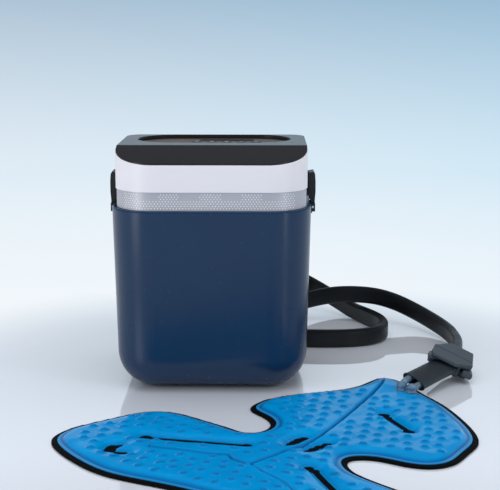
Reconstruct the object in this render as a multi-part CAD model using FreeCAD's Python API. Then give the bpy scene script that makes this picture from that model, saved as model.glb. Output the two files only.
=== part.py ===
import FreeCAD, Part
import math
import os

# Hot and cold therapy machine, millimetres.
# An insulated tub holds ice or warm water and a pump. A head with the controls, a fan and
# a thermoelectric block is clipped on top of it by two side latches. A flat twin hose leaves
# the back of the tub and ends in a two-part coupler, and the coupler feeds a wrap.
# Frame: +Z up, the front of the machine faces -Y, and the origin is the middle of the
# base mat's lower face, so the floor is z = 0.

V = FreeCAD.Vector
UP = V(0, 0, 1)
ALONG_X = V(1, 0, 0)
ALONG_Y = V(0, 1, 0)
BIG = 1000.0

# ---------------------------------------------------------------- head and tub, outside
head_width = 245.0
head_depth = 200.0
front_corner = 51.0
rear_corner = 22.0
least_corner = 3.0
mat_thickness = 2.5
rim_height = 236.8
seat_gap = 0.3
band_height = 23.4
front_edge_rise = 35.8
roof_rise = 16.7
crease_setback = 60.6

# ---------------------------------------------------------------- tub
tub_proud = 5.0
tub_draft = 1.25
base_round_side = 40.0
base_round_height = 44.5
shell_wall = 3.0
lip_thickness = 3.0
rim_fillet = 2.2
opening_inset = 10.5
liner_wall = 2.5
liner_draft = 2.0
liner_floor = 26.5
liner_flange = 6.0
liner_round = 14.0
gasket_inset = 6.0
gasket_width = 2.6
gasket_groove = 1.8
mat_inset = 46.0

# ---------------------------------------------------------------- head shells
ring_wall = 2.6
ring_drop = 2.2
ring_edge_round = 0.7
ledge_width = 3.0
ledge_thickness = 2.0
cover_thickness = 3.0
cover_gap = 0.3
cover_inset = 0.5
cover_rim = 2.0
cover_edge_round = 0.6
band_inset = 1.2
band_wall = 2.2
vent_hole = 1.5
vent_pitch = 3.9
vent_row_pitch = 2.85
vent_rows = 7
vent_full_rows = 4
vent_bottom = 3.2
vent_reach = 112.0
vent_wave = 52.0
base_plate = 3.0
skirt_gap = 0.6
skirt_wall = 2.5
skirt_depth = 8.1

# ---------------------------------------------------------------- control recess
recess_length = 205.0
recess_width = 103.0
recess_rear_rim = 5.0
recess_depth = 5.5
recess_round = 1.6
panel_thickness = 1.3
panel_gap = 0.2
pan_floor = 2.5
pan_wall = 2.5
key_count = 5
key_pitch = 20.0
key_length = 15.0
key_width = 9.0
key_proud = 0.8
key_travel = 0.8
key_gap = 0.25
key_flange = 1.0
key_flange_thickness = 1.4
key_round = 0.5
keys_x = 16.0
keys_y = 52.0
display_length = 76.0
display_width = 15.0
display_y = 75.0
display_proud = 0.2
module_height = 4.5
module_inset = 1.0
window_lap = 3.0
window_lap_side = 2.0
board_length = 140.0
board_width = 68.0
board_thickness = 1.6
board_y = 56.0
board_drop = 6.6
boss_radius = 3.5
boss_inset = 6.0
boss_bore_depth = 5.0
screw_radius = 1.5
screw_head_radius = 2.8
screw_head = 1.8
switch_size = 6.0
switch_clear = 0.2

# ---------------------------------------------------------------- thermal stack and fan
stack_size = 80.0
post_inset = 5.0
sink_base = 5.0
sink_fins = 12
fin_thickness = 1.6
fin_height = 17.0
post_radius = 3.0
post_height = 1.9
element_size = 40.0
element_gap = 2.0
element_thickness = 3.9
block_size = 50.0
block_depth = 36.0
block_slots = 5
block_slot_width = 4.0
block_slot_depth = 24.0
fan_height = 15.0
fan_rim = 2.5
fan_tip_gap = 2.0
fan_hub_radius = 15.0
fan_blades = 7
fan_shaft = 2.0
fan_strut = 5.0
fan_hub_height = 3.0
fan_rotor_clear = 1.0
fan_rotor_height = 10.0
fan_shaft_rise = 0.4
blade_half = 0.8
blade_pitch = 50.0
blade_root = 2.0
blade_low = 0.5
blade_height = 9.0
shaft_gap = 0.05
probe_radius = 2.5
probe_length = 78.0
probe_collar = 3.0
probe_collar_height = 4.0
probe_x = 52.0
probe_y = -45.0
inlet_width = 26.0
inlet_height = 15.0
inlet_length = 16.0
inlet_x = -60.0
inlet_rise = 13.5
inlet_shelf = 3.0
socket_width = 15.5
socket_height = 8.5
socket_depth = 10.0
contact_radius = 1.1
contact_spread = 4.3
contact_setback = 3.0
dock_x = -60.0
dock_y = 82.0
dock_width = 24.0
dock_height = 14.0
dock_drop = 10.8
plug_width = 16.0
plug_thickness = 4.0
plug_gap = 0.3
plug_engage = 6.0

# ---------------------------------------------------------------- pump
pump_x = 20.0
pump_y = 12.0
pump_radius = 27.0
pump_height = 20.0
chamber_radius = 20.0
chamber_height = 11.0
motor_radius = 22.0
motor_height = 32.0
motor_shaft = 2.0
impeller_radius = 18.0
impeller_disc = 2.0
impeller_rise = 2.5
impeller_hub = 6.0
vane_height = 6.0
vane_count = 6
vane_half = 0.8
vane_root = 4.0
vane_gap = 0.5
shaft_clear = 1.0
pump_inlet_radius = 2.2
pump_inlet_rise = 3.0
pump_inlet_turns = [200, 245, 290, 335]
strainer_radius = 34.0
strainer_wall = 2.0
strainer_height = 34.0
strainer_slots = 24
strainer_slot = 3.0
strainer_band = 4.0
strainer_cap = 2.0
strainer_gap = 0.3
tube_outer = 5.0
tube_bore = 3.5
lead_radius = 2.2
# The return tube's bends, as left, back and down from the port.
return_bends = [(0, 26, 0), (30, 40, 14), (44, 40, 40)]
# How far down from the socket to the motor the pump's lead is at its bends.
lead_drops = [0.4, 0.57, 0.7, 0.8]

# ---------------------------------------------------------------- rear hose port
port_x = 20.0
port_z = 110.0
port_width = 24.0
port_tall = 40.0
flange_width = 40.0
flange_tall = 56.0
port_face_y = 107.0
spigot_spread = 7.0
spigot_length = 8.0
spigot_wall = 1.2
port_screw_spread = 23.5
port_screw_length = 7.0
port_inset = 18.5
riser_setback = 20.0
relief_length = 30.0
relief_root = 5.0
relief_tip = 2.0

# ---------------------------------------------------------------- latches
latch_width = 26.0
ear_width = 3.5
ear_gap = 0.3
pivot_x = 131.0
pivot_drop = 7.3
pivot_radius = 1.5
barrel_radius = 3.2
catch_thickness = 2.9
catch_foot = 5.9
catch_rise = 18.5
catch_screw_spread = 6.0
catch_screw_rise = 7.5
catch_lead_in = 1.5
catch_slope = 5.0
catch_lip = 1.2
catch_short = 2.0
lever_rise = 15.0
lever_outer = 134.5
lever_clear = 0.35
grip_inset = 5.0
grip_depth = 1.2
grip_high = 10.0
grip_low = 22.0
ear_reach = 3.0
ear_below = 6.0
ear_above = 4.5
strip_below = 8.0
strip_gap = 0.8
pivot_gap = 0.06

# ---------------------------------------------------------------- flat hose
hose_tall = 26.0
hose_thick = 13.0
hose_edge_round = 5.5
floor_z = 13.2
bend_share = 0.45

# ---------------------------------------------------------------- coupler
coupler_x = 314.5
coupler_y = -29.8
coupler_z = 22.5
coupler_heading = 8.0
coupler_roll = 25.0
coupler_half_width = 28.0
hose_half_length = 34.0
hose_half_low = -12.0
coupler_top = 13.0
coupler_top_slope = 8.0
plate_length = 28.0
plate_low = 4.7
core_half_width = 14.5
core_length = 16.0
core_low = -10.5
tab_outer = 31.5
tab_gap = 2.6
tab_length = 24.0
tab_travel = 2.0
tab_low = -4.0
tab_round = 3.0
finger_inset = 2.0
finger_width = 5.0
finger_length = 7.0
tab_top = 4.4
coupler_round = 2.5
plate_round = 1.5
hose_half_corner = [(-28, 5.3), (-5, 34)]
plate_corner = [(4, -28), (28, -9)]
nipple_radius = 4.0
nipple_bore = 2.6
nipple_spread = 9.0
nipple_length = 12.0
nipple_root = 6.0
nipple_gap = 0.4
nipple_end_gap = 3.0
bore_stop = 14.0
seal_thickness = 0.9
seal_width = 2.0
seal_setback = 5.0
seal_proud = 0.2
seal_seat = 1.0
core_overlap = 2.0
core_round = 2.0
tab_back = 1.0
finger_root = 4.0
finger_low = -3.0
finger_high = 1.0
finger_gap = 0.7
finger_end_gap = 2.0
finger_room = 2.0
hose_side = 12.0
hose_lead_out = 32.0

# ---------------------------------------------------------------- sleeve, tubes and wrap
sleeve_start = (-3.0, -10.0, -1.0)
sleeve_end = (258.0, -99.0, 17.5)
sleeve_width = 33.0
sleeve_thick = 13.0
sleeve_wall = 1.5
sleeve_roll = 22.0
wrap_tube_radius = 4.5
wrap_tube_bore = 3.0
wrap_tube_spread = 8.0
wrap_tube_inside = 30.0
wrap_tube_knee = 4.0
wrap_tube_reach = 12.0
port_disc_radius = 7.0
port_disc = 1.2
port_dome = 11.0
port_dome_wall = 1.5
port_boss = 1.0
backing_thickness = 3.0
film_thickness = 6.6
film_sheet = 1.2
chamber_border = 13.0
film_border = 7.0
film_round = 2.0
slit_width = 5.0
slit_rim = 3.0
seam_width = 3.0

# Outline of the wrap, seen from above, clockwise from the tip of its left lobe.
wrap_outline = [
    (-174, -270), (-163, -241), (-137, -216), (-100, -188), (-72, -173), (-42, -177),
    (-6, -203), (27, -231), (51, -247), (69, -238), (75, -213), (65, -189),
    (51, -163), (61, -137), (88, -114), (128, -97), (169, -84), (200, -66), (225, -46),
    (245, -58), (269, -98), (289, -142), (304, -195), (312, -245), (309, -281),
    (292, -313), (268, -346), (243, -354), (211, -343), (181, -329), (161, -333),
    (158, -352), (174, -382), (204, -414), (234, -454), (243, -498), (216, -526),
    (168, -524), (121, -504), (57, -465), (0, -430), (-43, -407), (-71, -394),
    (-104, -375), (-136, -343), (-161, -308),
]
# Slits through the film, each along its own few points.
long_slit = [(-74, -270), (-21, -282), (53, -296)]
right_slit = [(205, -181), (219, -208), (241, -254)]
upper_short_slit = [(94, -294), (105, -277), (115, -269)]
lower_short_slit = [(114, -314), (132, -292), (142, -286)]
bottom_slit = [(112, -358), (124, -379), (140, -425), (156, -455)]
crescent_slit = [(-96, -300), (-108, -308), (-103, -322), (-84, -327)]
# Seams that part the film's chambers.
main_seam = [(217, -83), (198, -127), (165, -200), (131, -269), (109, -302), (80, -328), (51, -358)]
left_seam = [(51, -358), (36, -343), (30, -331), (16, -329), (-8, -322), (-32, -314), (-58, -307)]
lower_seam = [(51, -358), (65, -382), (87, -411), (94, -427)]

# ---------------------------------------------------------------- worked out from the above
half_width = head_width / 2
half_depth = head_depth / 2
head_bottom = rim_height + seat_gap
band_top = head_bottom + band_height
front_edge_height = band_top + front_edge_rise
top_height = front_edge_height + roof_rise
crease_y = crease_setback - half_depth
front_slope = (top_height - front_edge_height) / crease_setback
lip_bottom = rim_height - lip_thickness
liner_top = lip_bottom
film_top = backing_thickness + film_thickness
liner_under_flange = liner_top - liner_wall
plate_inset = band_inset + band_wall
plate_top = head_bottom + base_plate
panel_top = top_height - recess_depth
floor_top = panel_top - panel_thickness
floor_under = floor_top - pan_floor
recess_y = half_depth - recess_rear_rim - recess_width / 2
board_top = floor_under - board_drop
board_under = board_top - board_thickness
key_under = floor_under - cover_gap - key_flange_thickness
sink_under = plate_top + post_height
port_inner_y = half_depth - port_inset
inlet_z = band_top + inlet_rise
dock_top = rim_height - dock_drop
pivot_z = rim_height - pivot_drop
catch_bottom = head_bottom + catch_foot
catch_top = band_top + catch_rise
catch_screw_z = band_top + catch_screw_rise
lever_top = band_top + lever_rise
fan_bore = stack_size / 2 - fan_rim
fan_blade_radius = fan_bore - fan_tip_gap
fins_top = sink_under + sink_base + fin_height
element_under = sink_under - element_thickness
fan_top = fins_top + fan_height


# ---------------------------------------------------------------- small shape tools
def corner_arc(cx, cy, radius, start, z):
    """A quarter circle about (cx, cy), anticlockwise from the start angle."""
    angles = [math.radians(start + turn) for turn in (0, 45, 90)]
    points = [V(cx + radius * math.cos(a), cy + radius * math.sin(a), z) for a in angles]
    return Part.Arc(*points).toShape()


def plan(inset, z):
    """The machine's plan outline at height z, moved inwards by inset."""
    x = half_width - inset
    y = half_depth - inset
    front = max(front_corner - inset, least_corner)
    rear = max(rear_corner - inset, least_corner)
    arcs = [
        corner_arc(x - rear, y - rear, rear, 0, z),
        corner_arc(rear - x, y - rear, rear, 90, z),
        corner_arc(front - x, front - y, front, 180, z),
        corner_arc(x - front, front - y, front, 270, z),
    ]
    edges = []
    for arc, following in zip(arcs, arcs[1:] + arcs[:1]):
        edges.append(arc)
        edges.append(Part.makeLine(arc.valueAt(arc.LastParameter),
                                   following.valueAt(following.FirstParameter)))
    return Part.Wire(edges)


def prism(wire, height):
    return Part.Face(wire).extrude(V(0, 0, height))


def plan_block(inset, low, high):
    return prism(plan(inset, low), high - low)


def plan_ring(inset, wall, low, high):
    return plan_block(inset, low, high).cut(plan_block(inset + wall, low - 1, high + 1))


def cup_form(top_inset, top, bottom, draft, side, tall):
    """A tapered body with the machine's plan and a rounded foot."""
    lean = math.tan(math.radians(draft))
    wires = []
    for step in range(7):
        turn = math.radians(15 * step)
        z = bottom + tall * (1 - math.cos(turn))
        inset = top_inset + (top - z) * lean + side * (1 - math.sin(turn))
        wires.append(plan(inset, z))
    foot = Part.makeLoft(wires, True, False)
    body = Part.makeLoft([wires[-1], plan(top_inset, top)], True, True)
    return foot.fuse(body)


def tub_form(wall, top):
    """The tub's outer form, moved inwards by wall on every side."""
    lean = math.tan(math.radians(tub_draft))
    return cup_form(wall - tub_proud + (rim_height - top) * lean, top, mat_thickness + wall,
                    tub_draft, base_round_side - wall, base_round_height - wall)


def liner_form(wall, top):
    lean = math.tan(math.radians(liner_draft))
    return cup_form(opening_inset - wall + (liner_top - top) * lean, top, liner_floor - wall,
                    liner_draft, liner_round + wall, liner_round + wall)


def roof(drop):
    """Everything below the head's roof, with the roof lowered by drop."""
    front_y = -half_depth - 10
    front_z = top_height - front_slope * (crease_y - front_y)
    profile = [
        V(-BIG, front_y, front_z - drop),
        V(-BIG, crease_y, top_height - drop),
        V(-BIG, half_depth + 10, top_height - drop),
        V(-BIG, half_depth + 10, 0),
        V(-BIG, front_y, 0),
    ]
    return Part.Face(Part.makePolygon(profile + profile[:1])).extrude(V(2 * BIG, 0, 0))


def box(x0, x1, y0, y1, z0, z1):
    return Part.makeBox(x1 - x0, y1 - y0, z1 - z0, V(x0, y0, z0))


def centred_box(x, y, width, depth, z0, z1):
    return box(x - width / 2, x + width / 2, y - depth / 2, y + depth / 2, z0, z1)


def rod(radius, start, end):
    """A round bar from one point to another."""
    along = V(*end) - V(*start)
    return Part.makeCylinder(radius, along.Length, V(*start), along)


def stadium_wire(length, width, z=0.0):
    """A round-ended slot outline along X, centred on the origin."""
    radius = width / 2
    reach = length / 2 - radius
    right = Part.Arc(V(reach, -radius, z), V(reach + radius, 0, z), V(reach, radius, z))
    left = Part.Arc(V(-reach, radius, z), V(-reach - radius, 0, z), V(-reach, -radius, z))
    return Part.Wire([
        right.toShape(), Part.makeLine(V(reach, radius, z), V(-reach, radius, z)),
        left.toShape(), Part.makeLine(V(-reach, -radius, z), V(reach, -radius, z)),
    ])


def stadium(length, width, x, y, low, high):
    wire = stadium_wire(length, width, low)
    wire.translate(V(x, y, 0))
    return prism(wire, high - low)


def upright_stadium(tall, width, x, z, y0, y1):
    """A round-ended slot standing in the XZ plane, taller than wide, drawn out along Y."""
    solid = prism(stadium_wire(tall, width), y1 - y0)
    solid.rotate(V(0, 0, 0), UP, 90)
    solid.rotate(V(0, 0, 0), ALONG_X, 90)
    solid.translate(V(x, y1, z))
    return solid


def edges_along(shape, wire, reach=0.02):
    """The edges of a shape whose middles lie on a wire."""
    found = []
    for edge in shape.Edges:
        middle = edge.valueAt((edge.FirstParameter + edge.LastParameter) / 2)
        if Part.Vertex(middle).distToShape(wire)[0] < reach:
            found.append(edge)
    return found


def all_of(shapes):
    """One shape of several that touch or overlap."""
    first = shapes[0]
    return first.multiFuse(shapes[1:]) if len(shapes) > 1 else first


def mirrored(shape):
    return shape.mirror(V(0, 0, 0), ALONG_X)


def save(name, *solids):
    """Write one node, as one solid or as a group of separate solids."""
    pieces = [s for shape in solids for s in shape.Solids]
    shape = pieces[0] if len(pieces) == 1 else Part.makeCompound(pieces)
    assert shape.isValid(), name
    shape.exportStep(os.path.join("parts", name + ".step"))
    return shape


# ---------------------------------------------------------------- tub
def port_hole():
    """The room that the hose port takes through the tub's rear wall."""
    return upright_stadium(port_tall, port_width, port_x, port_z, 0, port_face_y + 5)


def make_tub():
    """The shell, the foam, the liner, the rim gasket and the base mat."""
    solid = tub_form(0, rim_height)
    solid = solid.makeFillet(rim_fillet, edges_along(solid, plan(-tub_proud, rim_height)))
    shell = solid.cut(tub_form(shell_wall, lip_bottom))
    shell = shell.cut(plan_block(opening_inset, lip_bottom - 1, rim_height + 1))
    shell = shell.cut(plan_ring(gasket_inset, gasket_width, rim_height - gasket_groove,
                                rim_height + 1))
    shell = shell.cut(port_hole())
    for z in port_screw_heights():
        shell = shell.cut(rod(screw_radius, (port_x, 0, z), (port_x, port_face_y, z)))
    save("tub_shell", shell)

    cup = liner_form(liner_wall, liner_top)
    flange = plan_block(opening_inset - liner_wall - liner_flange, liner_under_flange, liner_top)
    liner = cup.fuse(flange).cut(liner_form(0, liner_top + 1)).cut(port_hole())
    save("tub_liner", liner)

    foam = tub_form(shell_wall, liner_under_flange).cut(cup).cut(port_hole())
    save("foam_insulation", foam)

    gasket = plan_ring(gasket_inset, gasket_width, rim_height - gasket_groove, head_bottom)
    save("rim_gasket", gasket)
    save("base_mat", plan_block(mat_inset, 0, mat_thickness))


def port_screw_heights():
    return [port_z - port_screw_spread, port_z + port_screw_spread]


def make_port():
    """The hose port with its two spigots, its screws, and the boot round the hose."""
    body = upright_stadium(port_tall, port_width, port_x, port_z, port_inner_y, port_face_y)
    flange = upright_stadium(flange_tall, flange_width, port_x, port_z,
                             half_depth - tub_proud, port_face_y).cut(tub_form(0, rim_height))
    spigots = []
    bores = []
    for side in (-1, 1):
        z = port_z + side * spigot_spread
        spigots.append(rod(tube_bore, (port_x, port_inner_y - spigot_length, z),
                           (port_x, port_inner_y, z)))
        bores.append(rod(tube_bore - spigot_wall, (port_x, 0, z), (port_x, port_face_y - 2, z)))
    port = all_of([body, flange] + spigots)
    for bore in bores:
        port = port.cut(bore)
    screws = []
    for z in port_screw_heights():
        shank = rod(screw_radius, (port_x, port_face_y - port_screw_length, z),
                    (port_x, port_face_y, z))
        head = rod(screw_head_radius, (port_x, port_face_y, z),
                   (port_x, port_face_y + screw_head, z))
        port = port.cut(shank)
        screws.append(head.fuse(shank))
    save("hose_port", port)
    save("port_screws", *screws)

    root = stadium_wire(hose_tall + 2 * relief_root, hose_thick + 2 * relief_root)
    tip = stadium_wire(hose_tall + 2 * relief_tip, hose_thick + 2 * relief_tip, relief_length)
    boot = Part.makeLoft([root, tip], True, True)
    boot.rotate(V(0, 0, 0), UP, 90)
    boot.rotate(V(0, 0, 0), ALONG_X, -90)
    boot.translate(V(port_x, port_face_y, port_z))
    save("strain_relief", all_of([boot]).cut(Part.makeCompound(screws)).cut(hose_start()))


def make_reservoir_works():
    """Pump, impeller, strainer, inner tubes, docking socket and the pump's lead."""
    floor = liner_floor
    middle = (pump_x, pump_y)
    wall = (pump_height - chamber_height) / 2
    housing = Part.makeCylinder(pump_radius, pump_height, V(*middle, floor))
    chamber_low = floor + wall
    housing = housing.cut(Part.makeCylinder(chamber_radius, chamber_height, V(*middle, chamber_low)))
    shaft_low = chamber_low + shaft_clear
    shaft_room = Part.makeCylinder(motor_shaft + shaft_clear, BIG, V(*middle, shaft_low))
    holes_z = chamber_low + pump_inlet_rise
    inlet_holes = [
        rod(pump_inlet_radius, (pump_x, pump_y, holes_z),
            (pump_x + BIG * math.cos(a), pump_y + BIG * math.sin(a), holes_z))
        for a in [math.radians(turn) for turn in pump_inlet_turns]
    ]
    housing = housing.cut(shaft_room)
    for hole in inlet_holes:
        housing = housing.cut(hole)
    outlet_z = chamber_low + chamber_height / 2
    outlet_y = pump_y + pump_radius
    outlet = rod(tube_bore, (pump_x, outlet_y - 3, outlet_z),
                 (pump_x, outlet_y + spigot_length, outlet_z))
    outlet_bore = rod(tube_bore - spigot_wall, (pump_x, pump_y + chamber_radius - 1, outlet_z),
                      (pump_x, BIG, outlet_z))
    housing = housing.fuse(outlet).cut(outlet_bore)
    save("pump_housing", housing)

    motor_low = floor + pump_height
    motor_top = motor_low + motor_height
    motor = Part.makeCylinder(motor_radius, motor_height, V(*middle, motor_low))
    shaft = Part.makeCylinder(motor_shaft, motor_low - shaft_low, V(*middle, shaft_low))
    save("pump_motor", motor.fuse(shaft))

    disc_low = chamber_low + impeller_rise
    impeller = Part.makeCylinder(impeller_radius, impeller_disc, V(*middle, disc_low))
    impeller = impeller.fuse(Part.makeCylinder(impeller_hub, vane_height, V(*middle, disc_low)))
    vane = box(vane_root, impeller_radius - vane_gap, -vane_half, vane_half,
               disc_low, disc_low + vane_height)
    for number in range(vane_count):
        turned = vane.copy()
        turned.rotate(V(0, 0, 0), UP, 360 / vane_count * number)
        turned.translate(V(*middle, 0))
        impeller = impeller.fuse(turned)
    impeller = impeller.cut(Part.makeCylinder(motor_shaft + shaft_gap, BIG, V(*middle, floor)))
    save("impeller", impeller)

    cage = Part.makeCylinder(strainer_radius, strainer_height, V(*middle, floor))
    cage = cage.cut(Part.makeCylinder(strainer_radius - strainer_wall, strainer_height,
                                      V(*middle, floor)))
    bars = []
    for number in range(strainer_slots):
        bar = box(0, strainer_radius + 5, -strainer_slot / 2, strainer_slot / 2,
                  floor + strainer_band, floor + strainer_height - strainer_band)
        bar.rotate(V(0, 0, 0), UP, 360 / strainer_slots * (number + 0.5))
        bar.translate(V(*middle, 0))
        bars.append(bar)
    rim = Part.makeCylinder(strainer_radius, strainer_cap, V(*middle, floor + strainer_height))
    rim = rim.cut(Part.makeCylinder(motor_radius, BIG, V(*middle, floor)))
    cage = cage.cut(Part.makeCompound(bars)).fuse(rim)
    outlet_room = rod(tube_outer + strainer_gap, (pump_x, pump_y, outlet_z), (pump_x, BIG, outlet_z))
    save("strainer", cage.cut(outlet_room))

    riser_y = port_inner_y - riser_setback
    save("supply_tube", hollow_tube([
        V(pump_x, outlet_y + 1, outlet_z), V(pump_x, riser_y, outlet_z),
        V(pump_x, riser_y, port_z - spigot_spread),
        V(pump_x, port_inner_y, port_z - spigot_spread),
    ]))
    back_z = port_z + spigot_spread
    bends = [V(port_x - left, port_inner_y - back, back_z - down)
             for left, back, down in return_bends]
    save("return_tube", hollow_tube([V(port_x, port_inner_y, back_z)] + bends))

    socket = box(dock_x - dock_width / 2, dock_x + dock_width / 2, dock_y - plug_thickness,
                 half_depth - opening_inset + liner_wall, dock_top - dock_height, dock_top)
    socket = socket.common(liner_form(0, liner_top))
    pocket = centred_box(dock_x, dock_y, plug_width + 2 * plug_gap,
                         plug_thickness + 2 * plug_gap, dock_top - plug_engage - plug_gap,
                         dock_top + 1)
    save("dock_socket", socket.cut(pocket))
    lead_top = dock_top - dock_height
    lead_x = pump_x - motor_radius / 2
    reach = pump_y - dock_y
    heights = [lead_top - share * (lead_top - motor_top) for share in lead_drops]
    save("pump_lead", solid_tube(lead_radius, [
        V(dock_x, dock_y, lead_top),
        V(dock_x, dock_y, heights[0]),
        V(dock_x, dock_y + reach / 3, heights[1]),
        V((dock_x + lead_x) / 2, pump_y, heights[2]),
        V(lead_x, pump_y, heights[3]),
        V(lead_x, pump_y, motor_top),
    ]))


# ---------------------------------------------------------------- tubes along a route
def route_wire(points, label=""):
    """Straight runs joined by tangent arcs. The bend radii are printed for a labelled route."""
    edges = []
    radii = []
    start = points[0]
    for before, corner, after in zip(points, points[1:], points[2:]):
        back = before - corner
        onward = after - corner
        turn = math.pi - back.getAngle(onward)
        reach = bend_share * min(back.Length, onward.Length)
        radii.append(reach / math.tan(turn / 2))
        back = back.normalize()
        onward = onward.normalize()
        first = corner + back * reach
        last = corner + onward * reach
        inward = (back + onward).normalize()
        middle = corner + inward * (radii[-1] / math.cos(turn / 2) - radii[-1])
        edges.append(Part.LineSegment(start, first).toShape())
        edges.append(Part.Arc(first, middle, last).toShape())
        start = last
    edges.append(Part.LineSegment(start, points[-1]).toShape())
    wire = Part.Wire(edges)
    if label:
        print(label, "length", round(wire.Length, 1), "radii", [round(r) for r in radii])
    return wire


def swept(profile, path, fixed_up):
    maker = Part.BRepOffsetAPI.MakePipeShell(path)
    if fixed_up:
        maker.setBiNormalMode(UP)
    else:
        maker.setFrenetMode(False)
    maker.add(profile)
    maker.build()
    maker.makeSolid()
    return maker.shape()


def solid_tube(radius, points, label=""):
    path = route_wire(points, label)
    circle = Part.Wire([Part.Circle(points[0], points[1] - points[0], radius).toShape()])
    return swept(circle, path, False)


def hollow_tube(points):
    return solid_tube(tube_outer, points).cut(solid_tube(tube_bore, points))


def hose_profile(x, y, z):
    """The flat hose's section, standing on edge across Y."""
    wide = hose_thick / 2
    tall = hose_tall / 2
    r = hose_edge_round
    s = r * (1 - math.sqrt(0.5))
    spots = [
        (wide, r - tall), (wide, tall - r), (wide - s, tall - s), (wide - r, tall),
        (r - wide, tall), (s - wide, tall - s), (-wide, tall - r), (-wide, r - tall),
        (s - wide, s - tall), (r - wide, -tall), (wide - r, -tall), (wide - s, s - tall),
    ]
    p = [V(x + a, y, z + b) for a, b in spots]
    return Part.Wire([
        Part.makeLine(p[0], p[1]), Part.Arc(p[1], p[2], p[3]).toShape(),
        Part.makeLine(p[3], p[4]), Part.Arc(p[4], p[5], p[6]).toShape(),
        Part.makeLine(p[6], p[7]), Part.Arc(p[7], p[8], p[9]).toShape(),
        Part.makeLine(p[9], p[10]), Part.Arc(p[10], p[11], p[0]).toShape(),
    ])


def hose_start():
    """The straight first stretch of the hose, for cutting the boot."""
    face = Part.Face(hose_profile(port_x, port_face_y - 1, port_z))
    return face.extrude(V(0, relief_length + 2, 0))


def hose_route():
    """The hose from the port round its loops to the coupler, point by point."""
    end = coupler_point(hose_side, hose_half_length, 0)
    last = coupler_point(hose_side, hose_half_length + hose_lead_out, 0)
    last.z = end.z
    return [
        V(port_x, port_face_y, port_z), V(20, 170, 110), V(32, 235, 104), V(60, 300, 88),
        V(100, 348, 64), V(146, 352, 40), V(186, 322, 22), V(208, 290, floor_z),
        V(230, 252, floor_z), V(247, 213, floor_z), V(249, 172, floor_z),
        V(231, 139, floor_z), V(192, 124, floor_z), V(142, 122.5, floor_z),
        V(95, 130, floor_z), V(56, 152, floor_z), V(36, 190, floor_z), V(40, 232, floor_z),
        V(68, 264, 15), V(106, 279, 24), V(146, 283, 35), V(186, 278, 43.5),
        V(236, 271, 43.5), V(270, 258, 37), V(300, 234, 27), V(325, 194, 19.5),
        V(341, 150, 15.5), V(344, 112, 14.2), V(342.5, 76, 15.5), last, end,
    ]


def make_hose():
    path = route_wire(hose_route(), "hose")
    profile = hose_profile(port_x, port_face_y, port_z)
    hose = swept(profile, path, True)
    section = Part.Face(profile).Area
    print("hose volume over section times length", round(hose.Volume / (section * path.Length), 4))
    save("hose", hose)


# ---------------------------------------------------------------- head
def catch_screws():
    """The right catch's screws, driven from inside the ring."""
    inner_x = half_width - ring_wall
    screws = []
    for y in (-catch_screw_spread, catch_screw_spread):
        head = rod(screw_head_radius, (inner_x - screw_head, y, catch_screw_z),
                   (inner_x, y, catch_screw_z))
        shank = rod(screw_radius, (inner_x, y, catch_screw_z),
                    (half_width + catch_thickness - 1, y, catch_screw_z))
        screws.append(head.fuse(shank))
    return screws


def make_ring():
    """The white side ring, with the ledge that carries the top cover."""
    outer = plan_block(0, band_top, top_height + 5).common(roof(ring_drop))
    top_edges = [e for e in outer.Edges if e.BoundBox.ZMin > front_edge_height - ring_drop - 0.1]
    outer = outer.makeFillet(ring_edge_round, top_edges)
    ring = outer.cut(plan_block(ring_wall, band_top - 1, top_height + 9))
    ledge = plan_ring(ring_wall, ledge_width, band_top, top_height)
    ledge = ledge.common(roof(cover_thickness)).cut(roof(cover_thickness + ledge_thickness))
    pan_room = stadium(recess_length + 2 * pan_wall + 1, recess_width + 2 * pan_wall + 1, 0,
                       recess_y, 0, BIG)
    inlet_room = centred_box(inlet_x, half_depth, inlet_width, 20,
                             inlet_z - inlet_height / 2, inlet_z + inlet_height / 2)
    ring = ring.fuse(ledge.cut(pan_room)).cut(inlet_room)
    for screw in catch_screws():
        ring = ring.cut(screw).cut(mirrored(screw))
    save("head_ring", ring)


def front_place(along):
    """A place on the band's front, this far round from the middle, and its outward direction."""
    radius = front_corner - band_inset
    flat = half_width - front_corner
    side = math.copysign(1, along)
    turn = max(abs(along) - flat, 0) / radius
    x = min(abs(along), flat) + radius * math.sin(turn)
    y = front_corner - half_depth - radius * math.cos(turn)
    return side * x, y, side * math.sin(turn), -math.cos(turn)


def make_vent_band():
    """The silver band under the ring, with its staggered air holes along the front."""
    band = plan_ring(band_inset, band_wall, head_bottom, band_top)
    holes = []
    for row in range(vent_rows):
        z = head_bottom + vent_bottom + row * vent_row_pitch
        shift = vent_pitch / 2 * (row % 2)
        for number in range(int(2 * vent_reach / vent_pitch)):
            along = -vent_reach + shift + number * vent_pitch
            wave = math.cos(2 * math.pi * along / vent_wave)
            if row < vent_full_rows or wave > 0:
                x, y, out_x, out_y = front_place(along)
                holes.append(rod(vent_hole / 2, (x + out_x, y + out_y, z),
                                 (x - 6 * out_x, y - 6 * out_y, z)))
    save("vent_band", band.cut(Part.makeCompound(holes)))


def make_head_base():
    """The head's floor: a plate with a skirt that centres it in the tub, and four posts."""
    plate = plan_block(plate_inset, head_bottom, plate_top)
    skirt = plan_ring(opening_inset + skirt_gap, skirt_wall, head_bottom - skirt_depth, head_bottom)
    reach = stack_size / 2 - post_inset
    posts = [
        Part.makeCylinder(post_radius, post_height, V(x, y, plate_top))
        for x in (-reach, reach) for y in (-reach, reach)
    ]
    base = all_of([plate, skirt] + posts)
    window = element_size + 2 * element_gap
    base = base.cut(centred_box(0, 0, window, window, head_bottom - 1, plate_top + 1))
    base = base.cut(Part.makeCylinder(probe_radius, 20, V(probe_x, probe_y, head_bottom - 10)))
    save("head_base", base)


def key_places():
    first = keys_x - key_pitch * (key_count - 1) / 2
    return [(first + key_pitch * number, keys_y) for number in range(key_count)]


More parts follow.
